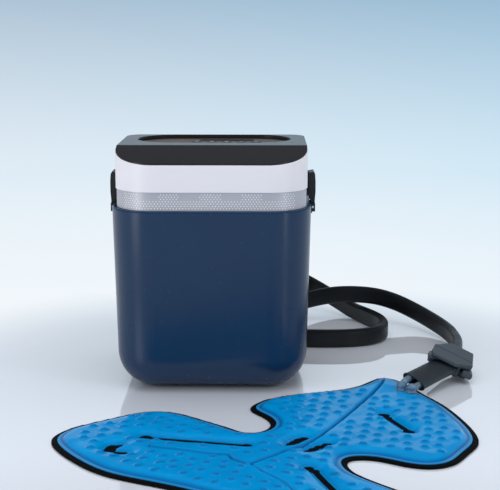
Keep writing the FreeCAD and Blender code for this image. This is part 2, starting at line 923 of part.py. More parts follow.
def board_corners():
    x = board_length / 2 - boss_inset
    y = board_width / 2 - boss_inset
    return [(keys_x + a, board_y + b) for a in (-x, x) for b in (-y, y)]


def make_top():
    """The black cover with its pan, the control panel in the pan, and the display window."""
    outline = ring_wall + cover_gap
    slab = plan_block(outline, 200, BIG).common(roof(0)).cut(roof(cover_thickness))
    pan = stadium(recess_length + 2 * pan_wall, recess_width + 2 * pan_wall, 0, recess_y,
                  floor_under, top_height)
    pan = pan.common(plan_block(outline, 200, BIG))
    bosses = [
        Part.makeCylinder(boss_radius, floor_under - board_top, V(x, y, board_top))
        for x, y in board_corners()
    ]
    rim = plan_block(cover_inset, 200, BIG).common(roof(0))
    top_edges = [e for e in rim.Edges if e.BoundBox.ZMin > front_edge_height - 0.5]
    rim = rim.makeFillet(cover_edge_round, top_edges).cut(roof(cover_rim))
    cover = all_of([slab, rim, pan] + bosses)
    cover = cover.cut(stadium(recess_length, recess_width, 0, recess_y, floor_top, BIG))
    mouth = stadium_wire(recess_length, recess_width, top_height)
    mouth.translate(V(0, recess_y, 0))
    cover = cover.makeFillet(recess_round, edges_along(cover, mouth))
    for x, y in board_corners():
        cover = cover.cut(Part.makeCylinder(screw_radius, boss_bore_depth, V(x, y, board_top)))
    holes = [stadium(key_length + 2 * key_gap, key_width + 2 * key_gap, x, y, floor_under - 1, BIG)
             for x, y in key_places()]
    window = stadium(display_length - 2 * window_lap, display_width - 2 * window_lap_side,
                     keys_x, display_y, floor_under - 1, floor_top + 1)
    save("top_cover", cover.cut(Part.makeCompound(holes + [window])))

    panel = stadium(recess_length - 2 * panel_gap, recess_width - 2 * panel_gap, 0, recess_y,
                    floor_top, panel_top)
    lens_room = stadium(display_length, display_width, keys_x, display_y, floor_top - 1, BIG)
    panel = panel.cut(Part.makeCompound(holes + [lens_room]))
    save("control_panel", panel)
    save("display_lens", stadium(display_length - 2 * panel_gap, display_width - 2 * panel_gap,
                                 keys_x, display_y, floor_top, panel_top + display_proud))
    save("display_module", centred_box(keys_x, display_y, display_length - 2 * module_inset,
                                       display_width - 2 * module_inset,
                                       floor_under - module_height, floor_under))


def make_keys():
    """Five keys, each with the flange that keeps it under the pan's floor."""
    names = ["power_key", "mode_key", "timer_key", "minus_key", "plus_key"]
    for name, (x, y) in zip(names, key_places()):
        cap = stadium(key_length, key_width, x, y, key_under, panel_top + key_proud)
        flange = stadium(key_length + 2 * (key_gap + key_flange),
                         key_width + 2 * (key_gap + key_flange), x, y, key_under,
                         key_under + key_flange_thickness)
        rim = Part.Wire(stadium_wire(key_length, key_width, panel_top + key_proud).Edges)
        rim.translate(V(x, y, 0))
        cap = cap.makeFillet(key_round, edges_along(cap, rim))
        save(name, cap.fuse(flange))


def make_board():
    """The circuit board with its key switches and its screws."""
    board = centred_box(keys_x, board_y, board_length, board_width, board_under, board_top)
    screws = []
    for x, y in board_corners():
        board = board.cut(Part.makeCylinder(screw_radius, BIG, V(x, y, board_under - 1)))
        head = Part.makeCylinder(screw_head_radius, screw_head, V(x, y, board_under - screw_head))
        shank = Part.makeCylinder(screw_radius, board_thickness + boss_bore_depth,
                                  V(x, y, board_under))
        screws.append(head.fuse(shank))
    save("circuit_board", board)
    save("board_screws", *screws)
    switch_top = key_under - key_travel - switch_clear
    save("key_switches", *[centred_box(x, y, switch_size, switch_size, board_top, switch_top)
                           for x, y in key_places()])


def make_thermal_stack():
    """Cold block, thermoelectric element, heat sink, and the fan on top of it."""
    block = centred_box(0, 0, block_size, block_size, head_bottom - block_depth, head_bottom)
    pitch = block_size / (block_slots + 1)
    low = head_bottom - block_depth - 1
    for number in range(block_slots):
        x = pitch * (number + 1) - block_size / 2
        block = block.cut(centred_box(x, 0, block_slot_width, BIG, low, low + block_slot_depth))
    neck = centred_box(0, 0, element_size, element_size, head_bottom, element_under)
    save("cold_block", block.fuse(neck))
    save("thermoelectric_element", centred_box(0, 0, element_size, element_size,
                                               element_under, sink_under))

    fins = [centred_box(0, 0, stack_size, stack_size, sink_under, sink_under + sink_base)]
    gap = (stack_size - fin_thickness) / (sink_fins - 1)
    for number in range(sink_fins):
        x = number * gap - (stack_size - fin_thickness) / 2
        fins.append(centred_box(x, 0, fin_thickness, stack_size, sink_under + sink_base, fins_top))
    save("heat_sink", all_of(fins))

    frame = centred_box(0, 0, stack_size, stack_size, fins_top, fan_top)
    frame = frame.cut(Part.makeCylinder(fan_bore, BIG, V(0, 0, fins_top - 1)))
    hub_top = fins_top + fan_hub_height
    hub = Part.makeCylinder(fan_hub_radius, fan_hub_height, V(0, 0, fins_top))
    struts = [centred_box(0, 0, 2 * fan_bore + 2, fan_strut, fins_top, hub_top),
              centred_box(0, 0, fan_strut, 2 * fan_bore + 2, fins_top, hub_top)]
    frame = all_of([frame, hub] + struts)
    frame = frame.cut(Part.makeCylinder(fan_shaft + shaft_gap, BIG, V(0, 0, fins_top - 1)))
    save("fan_frame", frame)

    rotor_low = hub_top + fan_rotor_clear
    shaft_low = fins_top + fan_shaft_rise
    rotor = Part.makeCylinder(fan_hub_radius, fan_rotor_height, V(0, 0, rotor_low))
    shaft = Part.makeCylinder(fan_shaft, rotor_low - shaft_low, V(0, 0, shaft_low))
    blade = box(fan_hub_radius - blade_root, fan_blade_radius, -blade_half, blade_half,
                -fan_height, fan_height)
    blade.rotate(V(0, 0, 0), ALONG_X, blade_pitch)
    slab = Part.makeCylinder(fan_blade_radius, blade_height, V(0, 0, rotor_low + blade_low))
    blades = []
    for number in range(fan_blades):
        turned = blade.copy()
        turned.translate(V(0, 0, rotor_low + fan_rotor_height / 2))
        turned.rotate(V(0, 0, 0), UP, 360 / fan_blades * number)
        blades.append(turned.common(slab))
    save("fan_rotor", all_of([rotor, shaft] + blades))

    probe = rod(probe_radius, (probe_x, probe_y, head_bottom - probe_length),
                (probe_x, probe_y, plate_top))
    collar = rod(probe_radius + probe_collar, (probe_x, probe_y, plate_top),
                 (probe_x, probe_y, plate_top + probe_collar_height))
    save("temperature_probe", probe.fuse(collar))


def make_electrics():
    """The power inlet at the back of the ring and the plug that docks into the tub."""
    low = inlet_z - inlet_height / 2
    high = inlet_z + inlet_height / 2
    inner_y = half_depth - inlet_length
    inlet = box(inlet_x - inlet_width / 2, inlet_x + inlet_width / 2, inner_y, half_depth, low, high)
    shelf = box(inlet_x - inlet_width / 2, inlet_x + inlet_width / 2, inner_y,
                half_depth - ring_wall - 1, high, high + inlet_shelf)
    socket = stadium(socket_width, socket_height, 0, 0, 0, socket_depth + 1)
    socket.rotate(V(0, 0, 0), ALONG_X, 90)
    socket.translate(V(inlet_x, half_depth + 1, inlet_z))
    inlet = inlet.fuse(shelf).cut(socket)
    pins = [rod(contact_radius,
                (inlet_x + side * contact_spread, half_depth - socket_depth - 1, inlet_z),
                (inlet_x + side * contact_spread, half_depth - contact_setback, inlet_z))
            for side in (-1, 1)]
    save("power_inlet", all_of([inlet] + pins))

    plug = centred_box(dock_x, dock_y, plug_width, plug_thickness, dock_top - plug_engage,
                       head_bottom)
    save("dock_plug", plug)


# ---------------------------------------------------------------- latches
def make_latches():
    """On each side: a bracket on the tub, a lever on its pin, and a catch on the head."""
    half = latch_width / 2
    ear_start = half + ear_gap
    ears = []
    for side in (-1, 1):
        y0, y1 = sorted((side * ear_start, side * (ear_start + ear_width)))
        ears.append(box(half_width, pivot_x + ear_reach, y0, y1,
                        pivot_z - ear_below, pivot_z + ear_above))
    strip = box(half_width, pivot_x - 1, -ear_start - ear_width, ear_start + ear_width,
                pivot_z - strip_below, pivot_z - barrel_radius - strip_gap)
    bracket = all_of(ears + [strip]).cut(tub_form(0, rim_height))
    pin_room = rod(pivot_radius, (pivot_x, -BIG, pivot_z), (pivot_x, BIG, pivot_z))
    bracket = bracket.cut(pin_room)
    end = ear_start + ear_width
    pin = rod(pivot_radius, (pivot_x, -end, pivot_z), (pivot_x, end, pivot_z))

    inner_x = half_width + catch_thickness + lever_clear
    # The lever's side view, from its free end down to the barrel and back up inside.
    profile = [
        (inner_x, lever_top - 1.2), (lever_outer - 2.6, lever_top), (lever_outer - 0.7, lever_top - 3.4),
        (lever_outer, lever_top - 13), (lever_outer, lever_top - 27), (lever_outer - 0.9, pivot_z + 8),
        (pivot_x + barrel_radius, pivot_z), (pivot_x - barrel_radius, pivot_z + 0.4),
        (pivot_x - barrel_radius + 0.8, pivot_z + 8.2), (inner_x, pivot_z + 10.5),
    ]
    wire = Part.makePolygon([V(x, -half, z) for x, z in profile + profile[:1]])
    lever = Part.Face(wire).extrude(V(0, latch_width, 0))
    barrel = rod(barrel_radius, (pivot_x, -half, pivot_z), (pivot_x, half, pivot_z))
    grip = box(lever_outer - grip_depth, lever_outer + 1, grip_inset - half, half - grip_inset,
               lever_top - grip_low, lever_top - grip_high)
    bore = rod(pivot_radius + pivot_gap, (pivot_x, -BIG, pivot_z), (pivot_x, BIG, pivot_z))
    lever = lever.fuse(barrel).cut(bore).cut(grip)

    catch_profile = [
        (half_width, catch_bottom),
        (half_width + catch_thickness, catch_bottom + catch_lead_in),
        (half_width + catch_thickness, catch_top - catch_slope),
        (half_width + catch_lip, catch_top), (half_width, catch_top),
    ]
    wire = Part.makePolygon([V(x, catch_short - half, z)
                             for x, z in catch_profile + catch_profile[:1]])
    catch = Part.Face(wire).extrude(V(0, latch_width - 2 * catch_short, 0))
    screws = catch_screws()
    for screw in screws:
        catch = catch.cut(screw)
    save("catch_screws", *screws, *[mirrored(screw) for screw in screws])
    save("latch_bracket_right", bracket)
    save("latch_bracket_left", mirrored(bracket))
    save("latch_pins", pin, mirrored(pin))
    save("latch_lever_right", lever)
    save("latch_lever_left", mirrored(lever))
    save("latch_catch_right", catch)
    save("latch_catch_left", mirrored(catch))


# ---------------------------------------------------------------- coupler
def coupler_placement():
    """Where the coupler lies. In its own frame the wrap's side is towards -Y."""
    roll = FreeCAD.Rotation(ALONG_Y, coupler_roll)
    heading = FreeCAD.Rotation(UP, -coupler_heading)
    return FreeCAD.Placement(V(coupler_x, coupler_y, coupler_z), heading.multiply(roll))


def coupler_point(x, y, z):
    return coupler_placement().multVec(V(x, y, z))


def rounded_box(x0, x1, y0, y1, z0, z1, radius):
    solid = box(x0, x1, y0, y1, z0, z1)
    return solid.makeFillet(radius, solid.Edges)


def corner_prism(edge, corner):
    """Everything on the corner's side of an edge from one point to another, seen from above."""
    (x0, y0), (x1, y1) = edge
    reach = BIG / math.hypot(x1 - x0, y1 - y0)
    far = [V(x0 - (x1 - x0) * reach, y0 - (y1 - y0) * reach, -BIG),
           V(x1 + (x1 - x0) * reach, y1 + (y1 - y0) * reach, -BIG)]
    push = V(*corner, -BIG) - V(x0, y0, -BIG)
    outline = far + [far[1] + push, far[0] + push, far[0]]
    return Part.Face(Part.makePolygon(outline)).extrude(V(0, 0, 2 * BIG))


def make_coupler():
    """The hose's half, the wrap's half with its nipples and seals, and the two release tabs."""
    place = coupler_placement()
    half = coupler_half_width
    lean = math.tan(math.radians(coupler_top_slope))
    above = Part.Face(Part.makePolygon([
        V(-BIG, -BIG, coupler_top - BIG * lean), V(-BIG, BIG, coupler_top + BIG * lean),
        V(-BIG, BIG, BIG), V(-BIG, -BIG, BIG), V(-BIG, -BIG, coupler_top - BIG * lean),
    ])).extrude(V(2 * BIG, 0, 0))
    hose_half = box(-half, half, 0, hose_half_length, hose_half_low, 2 * coupler_top).cut(above)
    hose_half = hose_half.cut(corner_prism(hose_half_corner, (-BIG, hose_half_length + BIG)))
    hose_half = hose_half.makeFillet(coupler_round, hose_half.Edges)
    for side in (-1, 1):
        x = side * nipple_spread
        hose_half = hose_half.cut(rod(nipple_radius + nipple_gap, (x, -1, 0),
                                      (x, nipple_length + nipple_end_gap, 0)))
        hose_half = hose_half.cut(rod(nipple_bore, (x, 0, 0),
                                      (x, hose_half_length - bore_stop, 0)))
        slot_x = side * (core_half_width + tab_gap + finger_inset + (finger_width - tab_travel) / 2)
        hose_half = hose_half.cut(centred_box(
            slot_x, finger_length / 2, finger_width + tab_travel + 2 * finger_gap,
            finger_length + finger_end_gap, finger_low - finger_room, finger_high + finger_room))

    plate = box(-half, half, -plate_length, 0, plate_low, 2 * coupler_top).cut(above)
    plate = plate.cut(corner_prism(plate_corner, (BIG, -plate_length - BIG)))
    plate = plate.makeFillet(plate_round, plate.Edges)
    core = rounded_box(-core_half_width, core_half_width, -core_length, 0, core_low,
                       plate_low + core_overlap, core_round)
    wrap_half = plate.fuse(core)
    seals = []
    for side in (-1, 1):
        x = side * nipple_spread
        wrap_half = wrap_half.fuse(rod(nipple_radius, (x, -nipple_root, 0), (x, nipple_length, 0)))
        wrap_half = wrap_half.cut(rod(nipple_bore, (x, -BIG, 0), (x, BIG, 0)))
        ring_start = nipple_length - seal_setback
        ring_end = ring_start + seal_width
        groove = rod(nipple_radius + seal_seat, (x, ring_start, 0), (x, ring_end, 0))
        groove = groove.cut(rod(nipple_radius - seal_thickness, (x, -BIG, 0), (x, BIG, 0)))
        wrap_half = wrap_half.cut(groove)
        seal = rod(nipple_radius + seal_proud, (x, ring_start, 0), (x, ring_end, 0))
        seals.append(seal.cut(rod(nipple_radius - seal_thickness, (x, -BIG, 0), (x, BIG, 0))))

    inner = core_half_width + tab_gap
    tab = rounded_box(inner, tab_outer, -tab_length, -tab_back, tab_low, tab_top, tab_round)
    finger = box(inner + finger_inset, inner + finger_inset + finger_width, -finger_root,
                 finger_length, finger_low, finger_high)
    tab = tab.fuse(finger)
    left_tab = tab.mirror(V(0, 0, 0), ALONG_X)
    room = sleeve_solid(sleeve_width + 2 * tab_gap, sleeve_thick + 2 * tab_gap, tab_length)
    room.Placement = place.inverse().multiply(room.Placement)
    tab = tab.cut(room)
    left_tab = left_tab.cut(room)

    def put(name, *shapes):
        moved = []
        for shape in shapes:
            shape = shape.copy()
            shape.Placement = place.multiply(shape.Placement)
            moved.append(shape)
        save(name, *moved)
        return moved[0]

    put("coupler_hose_half", hose_half)
    placed = put("coupler_wrap_half", wrap_half)
    put("coupler_seals", *seals)
    put("release_tab_right", tab)
    put("release_tab_left", left_tab)
    return placed


# ---------------------------------------------------------------- sleeve, tubes and wrap
def sleeve_frame():
    """The sleeve's start, its direction, and the directions of its width and thickness."""
    start = coupler_point(*sleeve_start)
    end = V(*sleeve_end)
    along = (end - start).normalize()
    level = UP.cross(along).normalize()
    if level.x < 0:
        level = level * -1
    roll = math.radians(sleeve_roll)
    rise = level.cross(along)
    if rise.z < 0:
        rise = rise * -1
    across = level * math.cos(roll) - rise * math.sin(roll)
    thick = rise * math.cos(roll) + level * math.sin(roll)
    return start, end, along, across, thick


def in_sleeve(shape, start, along, across, thick):
    """Put a shape drawn with X across, Y through and Z along into the sleeve's frame."""
    matrix = FreeCAD.Matrix(
        across.x, thick.x, along.x, start.x,
        across.y, thick.y, along.y, start.y,
        across.z, thick.z, along.z, start.z,
        0, 0, 0, 1)
    moved = shape.copy()
    moved.Placement = FreeCAD.Placement(matrix)
    return moved


def sleeve_solid(width, thickness, lead=0.0):
    """A solid of this section from the sleeve's start, or a lead before it, to its end."""
    start, end, along, across, thick = sleeve_frame()
    section = prism(stadium_wire(width, thickness), (end - start).Length + lead)
    return in_sleeve(section, start - along * lead, along, across, thick)


def make_sleeve(wrap_half):
    """The flat sleeve from the coupler's wrap half to the tubes."""
    outer = sleeve_solid(sleeve_width, sleeve_thick)
    inner = sleeve_solid(sleeve_width - 2 * sleeve_wall, sleeve_thick - 2 * sleeve_wall)
    save("wrap_sleeve", outer.cut(inner).cut(wrap_half))


def tube_runs():
    """For each wrap tube: where it starts, where it leaves the sleeve, and where it lands."""
    _, end, along, across, _ = sleeve_frame()
    runs = []
    for side in (-1, 1):
        mouth = end + across * (side * wrap_tube_spread)
        knee = mouth + along * wrap_tube_knee
        landing = V(knee.x, knee.y, 0) + V(along.x, along.y, 0) * wrap_tube_reach
        runs.append((mouth - along * wrap_tube_inside, knee, landing))
    return runs


def make_wrap_tubes():
    """Two clear tubes from the sleeve down to the ports on the wrap."""
    tubes = []
    ports = []
    for first, knee, landing in tube_runs():
        foot = V(landing.x, landing.y, film_top + port_disc + wrap_tube_radius)
        points = [first, knee, foot]
        outer = solid_tube(wrap_tube_radius, points)
        inner = solid_tube(wrap_tube_bore, points)
        tubes.append(outer.cut(inner))
        disc = Part.makeCylinder(port_disc_radius, port_disc, V(landing.x, landing.y, film_top))
        dome = Part.makeCylinder(wrap_tube_radius + port_dome_wall, port_dome,
                                 V(landing.x, landing.y, film_top))
        ports.append(disc.fuse(dome).cut(outer).Solids[0])
    save("wrap_tubes", *tubes)
    save("wrap_ports", *ports)


def closed_curve(points, z):
    curve = Part.BSplineCurve()
    curve.interpolate(Points=[V(x, y, z) for x, y in points], PeriodicFlag=True)
    return Part.Wire([curve.toShape()])


def moved_inwards(points, distance):
    """The same outline, every point moved inwards from its neighbours' chord."""
    moved = []
    for number, (x, y) in enumerate(points):
        before = points[number - 1]
        after = points[(number + 1) % len(points)]
        dx = after[0] - before[0]
        dy = after[1] - before[1]
        size = math.hypot(dx, dy)
        moved.append((x + dy / size * distance, y - dx / size * distance))
    return moved


def channel(points, width, low, high):
    """A narrow round-ended channel along a few points."""
    parts = []
    for x, y in points:
        parts.append(Part.makeCylinder(width / 2, high - low, V(x, y, low)))
    for (x0, y0), (x1, y1) in zip(points, points[1:]):
        size = math.hypot(x1 - x0, y1 - y0)
        bar = box(0, size, -width / 2, width / 2, low, high)
        bar.rotate(V(0, 0, 0), UP, math.degrees(math.atan2(y1 - y0, x1 - x0)))
        bar.translate(V(x0, y0, 0))
        parts.append(bar)
    return all_of(parts)


def make_wrap():
    """The black backing and, on top of it, the blue film bladder.

    The bladder is a flat sheet with a raised chamber on it. Seams part the chamber, and
    slits go through the sheet, each with a flat rim round it.
    """
    save("wrap_backing", prism(closed_curve(wrap_outline, 0), backing_thickness))
    sheet_top = backing_thickness + film_sheet
    film = prism(closed_curve(moved_inwards(wrap_outline, film_border), backing_thickness),
                 film_sheet)
    chamber = prism(closed_curve(moved_inwards(wrap_outline, chamber_border), backing_thickness),
                    film_thickness)
    chamber = chamber.makeFillet(film_round,
                                 [e for e in chamber.Edges if e.BoundBox.ZMin > film_top - 0.01])
    for points in (main_seam, left_seam, lower_seam):
        chamber = chamber.cut(channel(points, seam_width, sheet_top, film_top + 1))
    slits = (long_slit, right_slit, upper_short_slit, lower_short_slit, bottom_slit,
             crescent_slit)
    for points in slits:
        chamber = chamber.cut(channel(points, slit_width + 2 * slit_rim, sheet_top, film_top + 1))
    for _, _, landing in tube_runs():
        chamber = chamber.fuse(Part.makeCylinder(
            port_disc_radius + port_boss, film_thickness, V(landing.x, landing.y, backing_thickness)))
    film = film.fuse(chamber)
    for points in slits:
        film = film.cut(channel(points, slit_width, backing_thickness - 1, film_top + 1))
    save("wrap_film", film)


def main():
    os.makedirs("parts", exist_ok=True)
    make_tub()
    make_port()
    make_reservoir_works()
    make_ring()
    make_vent_band()
    make_head_base()
    make_top()
    make_keys()
    make_board()
    make_thermal_stack()
    make_electrics()
    make_latches()
    make_hose()
    make_sleeve(make_coupler())
    make_wrap_tubes()
    make_wrap()


main()
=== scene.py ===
"""Hot and cold therapy machine with its hose, coupler and wrap, dressed for rendering.

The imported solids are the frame. Lengths in the tables are millimetres, as in the part's
source, and everything in the scene is in metres.
"""
import math

import bmesh
import bpy
import numpy as np
from mathutils import Matrix, Vector


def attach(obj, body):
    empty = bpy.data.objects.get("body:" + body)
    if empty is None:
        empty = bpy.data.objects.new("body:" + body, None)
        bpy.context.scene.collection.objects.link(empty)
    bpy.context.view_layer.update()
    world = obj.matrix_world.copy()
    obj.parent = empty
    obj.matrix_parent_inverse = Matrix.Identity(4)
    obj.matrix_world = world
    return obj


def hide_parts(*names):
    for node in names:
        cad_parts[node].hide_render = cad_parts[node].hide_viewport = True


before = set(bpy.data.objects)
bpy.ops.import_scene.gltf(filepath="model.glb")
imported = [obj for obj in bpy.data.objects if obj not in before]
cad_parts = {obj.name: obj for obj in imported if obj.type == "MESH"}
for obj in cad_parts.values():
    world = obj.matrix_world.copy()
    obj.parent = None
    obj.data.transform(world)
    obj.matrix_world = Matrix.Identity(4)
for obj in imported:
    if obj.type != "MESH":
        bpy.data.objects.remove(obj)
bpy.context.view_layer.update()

MM = 0.001
scene = bpy.context.scene
bpy.ops.object.select_all(action="DESELECT")


# ---------------------------------------------------------------- materials
def srgb(value):
    """Linear colour from an sRGB hex value."""
    channels = [int(value[i:i + 2], 16) / 255 for i in (0, 2, 4)]
    linear = [c / 12.92 if c <= 0.04045 else ((c + 0.055) / 1.055) ** 2.4 for c in channels]
    return (*linear, 1.0)


def fill(tree, node, inputs):
    """Give a node its inputs. Each is a value, or an output to link from."""
    for key, value in inputs.items():
        if isinstance(value, bpy.types.NodeSocket):
            tree.links.new(value, node.inputs[key])
        else:
            node.inputs[key].default_value = value


def add(tree, kind, inputs, **settings):
    """Add a node with its settings and inputs."""
    node = tree.nodes.new(kind)
    for name, value in settings.items():
        setattr(node, name, value)
    fill(tree, node, inputs)
    return node


def noise(tree, place, size_mm, detail, **inputs):
    """Noise whose features are about this many millimetres across."""
    return add(tree, "ShaderNodeTexNoise",
               {"Vector": place, "Scale": per_metre(size_mm), "Detail": detail,
                **inputs}).outputs["Fac"]


def cells(tree, place, size_mm):
    """Distance from the middle of the nearest cell, in cells this many millimetres across."""
    return add(tree, "ShaderNodeTexVoronoi",
               {"Vector": place, "Scale": per_metre(size_mm)}).outputs["Distance"]


def blend(tree, share, first, second):
    """A colour between two, each of them a hex value or an output."""
    pair = [srgb(tone) if isinstance(tone, str) else tone for tone in (first, second)]
    return add(tree, "ShaderNodeMix", {0: share, 6: pair[0], 7: pair[1]},
               data_type="RGBA").outputs[2]


def spread(tree, value, low, high, first=0.0, last=1.0, **settings):
    """Carry a value between first and last over to one between low and high."""
    return add(tree, "ShaderNodeMapRange",
               {"Value": value, "From Min": first, "From Max": last,
                "To Min": low, "To Max": high}, **settings).outputs["Result"]


def relief(tree, height, strength, depth_mm, **under):
    """Bumps this many millimetres deep; `Normal` lays them over other bumps."""
    return add(tree, "ShaderNodeBump",
               {"Height": height, "Strength": strength, "Distance": depth_mm * MM,
                **under}).outputs["Normal"]


def start(name):
    """A new material with its shader, and the place on the piece that patterns read."""
    material = bpy.data.materials.new(name)
    material.use_nodes = True
    tree = material.node_tree
    tree.nodes.clear()
    shader = add(tree, "ShaderNodeBsdfPrincipled", {})
    add(tree, "ShaderNodeOutputMaterial", {"Surface": shader.outputs["BSDF"]})
    place = add(tree, "ShaderNodeTexCoord", {}).outputs["Object"]
    return material, tree, shader, place


def per_metre(size_mm):
    """Pattern scale whose features are about this many millimetres across."""
    return 1000.0 / size_mm


def moulded(name, colour, shade, roughness, skin, depth=0.02, specular=0.5):
    """Injection-moulded plastic.

    Its colour drifts a little over a hand's width, its gloss is uneven where the melt
    flowed, and its skin has a fine texture `skin` millimetres across.
    """
    material, tree, shader, place = start(name)
    drift = noise(tree, place, 90, 2.0)
    flow = noise(tree, place, 14, 3.0)
    grain = noise(tree, place, skin, 2.0)
    fill(tree, shader, {
        "Base Color": blend(tree, drift, shade, colour),
        "Roughness": spread(tree, flow, roughness * 0.85, roughness * 1.15),
        "Normal": relief(tree, grain, 0.3, depth),
        "Specular IOR Level": specular})
    return material


def elastomer(name, colour, bloom, roughness, grain_size):
    """Soft moulded rubber or silicone: dull, with a paler bloom in patches and a fine grain."""
    material, tree, shader, place = start(name)
    patches = noise(tree, place, 35, 4.0, Roughness=0.6)
    grain = noise(tree, place, grain_size, 3.0)
    fill(tree, shader, {
        "Base Color": blend(tree, patches, colour, bloom),
        "Roughness": spread(tree, patches, roughness * 0.8, roughness * 1.15, 0.3, 0.7),
        "Normal": relief(tree, grain, 0.4, 0.06),
        "Specular IOR Level": 0.3})
    return material


def metal(name, colour, shade, roughness, line_mm, stretch):
    """Bare or plated metal with tool lines `line_mm` apart, drawn out along one axis."""
    material, tree, shader, place = start(name)
    drawn = add(tree, "ShaderNodeMapping", {"Vector": place, "Scale": stretch})
    lines = noise(tree, drawn.outputs["Vector"], line_mm, 3.0)
    fill(tree, shader, {
        "Base Color": blend(tree, lines, shade, colour),
        "Roughness": spread(tree, lines, roughness * 0.8, roughness * 1.2),
        "Normal": relief(tree, lines, 0.3, 0.01),
        "Metallic": 1.0})
    return material


def make_glass():
    """Smoked acrylic window: near black, with faint handling smears in its gloss."""
    material, tree, shader, place = start("smoked_acrylic_window")
    smears = noise(tree, place, 18, 4.0, Distortion=0.6)
    fill(tree, shader, {
        "Base Color": blend(tree, smears, "0b0c0f", "15171b"),
        "Roughness": spread(tree, smears, 0.05, 0.16),
        "Coat Weight": 0.4})
    return material


def make_clear_tube():
    """Clear flexible PVC tube: slightly blue, cloudy in patches, wet-looking."""
    material, tree, shader, place = start("clear_flexible_pvc")
    cloud = noise(tree, place, 5, 2.0)
    fill(tree, shader, {
        "Base Color": blend(tree, cloud, "7fb2d2", "bcdcef"),
        "Roughness": spread(tree, cloud, 0.06, 0.22),
        "Transmission Weight": 0.78,
        "IOR": 1.53})
    return material


def make_foam():
    """Closed-cell polyurethane foam: chalky yellow with cells about a millimetre across."""
    material, tree, shader, place = start("polyurethane_foam")
    pores = cells(tree, place, 1.2)
    fill(tree, shader, {
        "Base Color": blend(tree, pores, "e9dfae", "c9bb82"),
        "Normal": relief(tree, pores, 0.6, 0.3),
        "Roughness": 0.9})
    return material


def make_board():
    """Glass-epoxy circuit board: green mask over fine copper runs 1.5 mm apart."""
    material, tree, shader, place = start("solder_masked_epoxy_board")
    runs = add(tree, "ShaderNodeTexBrick",
               {"Vector": place, "Scale": per_metre(3), "Mortar Size": 0.06,
                "Color1": srgb("1c5a35"), "Color2": srgb("20633b"), "Mortar": srgb("3d8a58")})
    fill(tree, shader, {"Base Color": runs.outputs["Color"], "Roughness": 0.35})
    return material


def make_film():
    """Welded TPU film: saturated blue, glossy and a little wrinkled.

    The welds, where two films are pressed into one, are darker, and so is the near foot of each
    blister, which is painted shade.
    The flat flange outside the welds is paler, which is a painted highlight. Both come from
    values kept on the mesh.
    """
    material, tree, shader, place = start("welded_tpu_film")
    # The first value darkens the welds and paints shade on each blister's near foot; the second
    # marks the flange, which is painted paler as a painted highlight.
    weld_and_shade, flange = [
        add(tree, "ShaderNodeAttribute", {}, attribute_name=name).outputs["Fac"]
        for name in ("weld_and_shade", "flange")]
    cloud = noise(tree, place, 40, 3.0)
    folds = noise(tree, place, 7, 4.0, Distortion=0.8)
    body = blend(tree, cloud, "0078b8", "0092d6")
    # Painted highlight: the flange is painted paler. Painted shade: each blister's near foot is
    # darkened along with the welds.
    edge = blend(tree, flange, body, "2283c0")
    fill(tree, shader, {
        "Base Color": blend(tree, weld_and_shade, edge, "074a8e"),
        "Normal": relief(tree, folds, 0.4, 0.6),
        "Roughness": spread(tree, cloud, 0.1, 0.2),
        "Specular IOR Level": 0.12})
    return material


def make_fabric():
    """Brushed loop fabric on foam: black, dull, with a knit 1.2 mm apart and a short nap."""
    material, tree, shader, place = start("brushed_loop_fabric")
    knit = cells(tree, place, 1.2)
    nap = noise(tree, place, 0.6, 4.0)
    soft = relief(tree, nap, 0.5, 0.25)
    fill(tree, shader, {
        "Base Color": blend(tree, nap, "010102", "060709"),
        "Normal": relief(tree, knit, 0.7, 0.4, Normal=soft),
        "Roughness": 0.75,
        "Specular IOR Level": 0.1,
        "Sheen Weight": 0.01})
    return material


def make_silver():
    """Silver-painted plastic: fine flake in the lacquer gives it a dim satin glitter."""
    material, tree, shader, place = start("silver_lacquered_abs")
    flake = noise(tree, place, 0.5, 1.0)
    drift = noise(tree, place, 60, 2.0)
    fill(tree, shader, {
        "Base Color": blend(tree, drift, "a9abb4", "bfc1ca"),
        "Roughness": spread(tree, flake, 0.32, 0.5),
        "Normal": relief(tree, flake, 0.2, 0.02),
        "Metallic": 0.35})
    return material


# Navy ABS: smooth and glossy, so that the corners of the tub hold long soft highlights.
navy_abs = moulded("gloss_moulded_abs_navy", "133354", "112e4d", 0.26, 1.5, depth=0.008,
                   specular=0.3)
# White ABS: a satin skin that glows evenly.
white_abs = moulded("satin_moulded_abs_white", "e9e9f0", "e2e2ea", 0.36, 0.8)
# Black ABS: the glossy cover, which mirrors the backdrop on its flat rear part.
black_cover = moulded("gloss_moulded_abs_black", "1c1b1e", "161518", 0.24, 1.2, depth=0.008,
                      specular=0.35)
# Black nylon: the small hardware, a little rougher than the cover.
black_plastic = moulded("satin_moulded_nylon_black", "121317", "0b0c0f", 0.35, 0.6,
                        specular=0.35)
# Key caps and their panel: matt greys, which keep the signs easy to read.
key_plastic = moulded("matt_moulded_key_caps", "3a3a40", "323237", 0.5, 0.5)
panel_plastic = moulded("matt_moulded_panel_insert", "5f5a58", "55504e", 0.55, 0.5)
# Polypropylene: the waxy pale grey of a water tank.
liner_plastic = moulded("moulded_polypropylene_liner", "dfe3e8", "d2d7de", 0.4, 1.0)
# Acetal: slate grey, with a spark-eroded skin that breaks up its highlights.
coupler_plastic = moulded("satin_moulded_acetal_grey", "3c4650", "303942", 0.4, 0.7,
                          depth=0.05, specular=0.4)
# Print and inner screen: bright whites, the first dull and the second a little shiny.
print_white = moulded("screen_printed_white", "eef0f5", "e0e3ea", 0.5, 0.4)
screen_white = moulded("bright_moulded_inner_screen", "fbfbff", "f2f2f8", 0.4, 0.4)
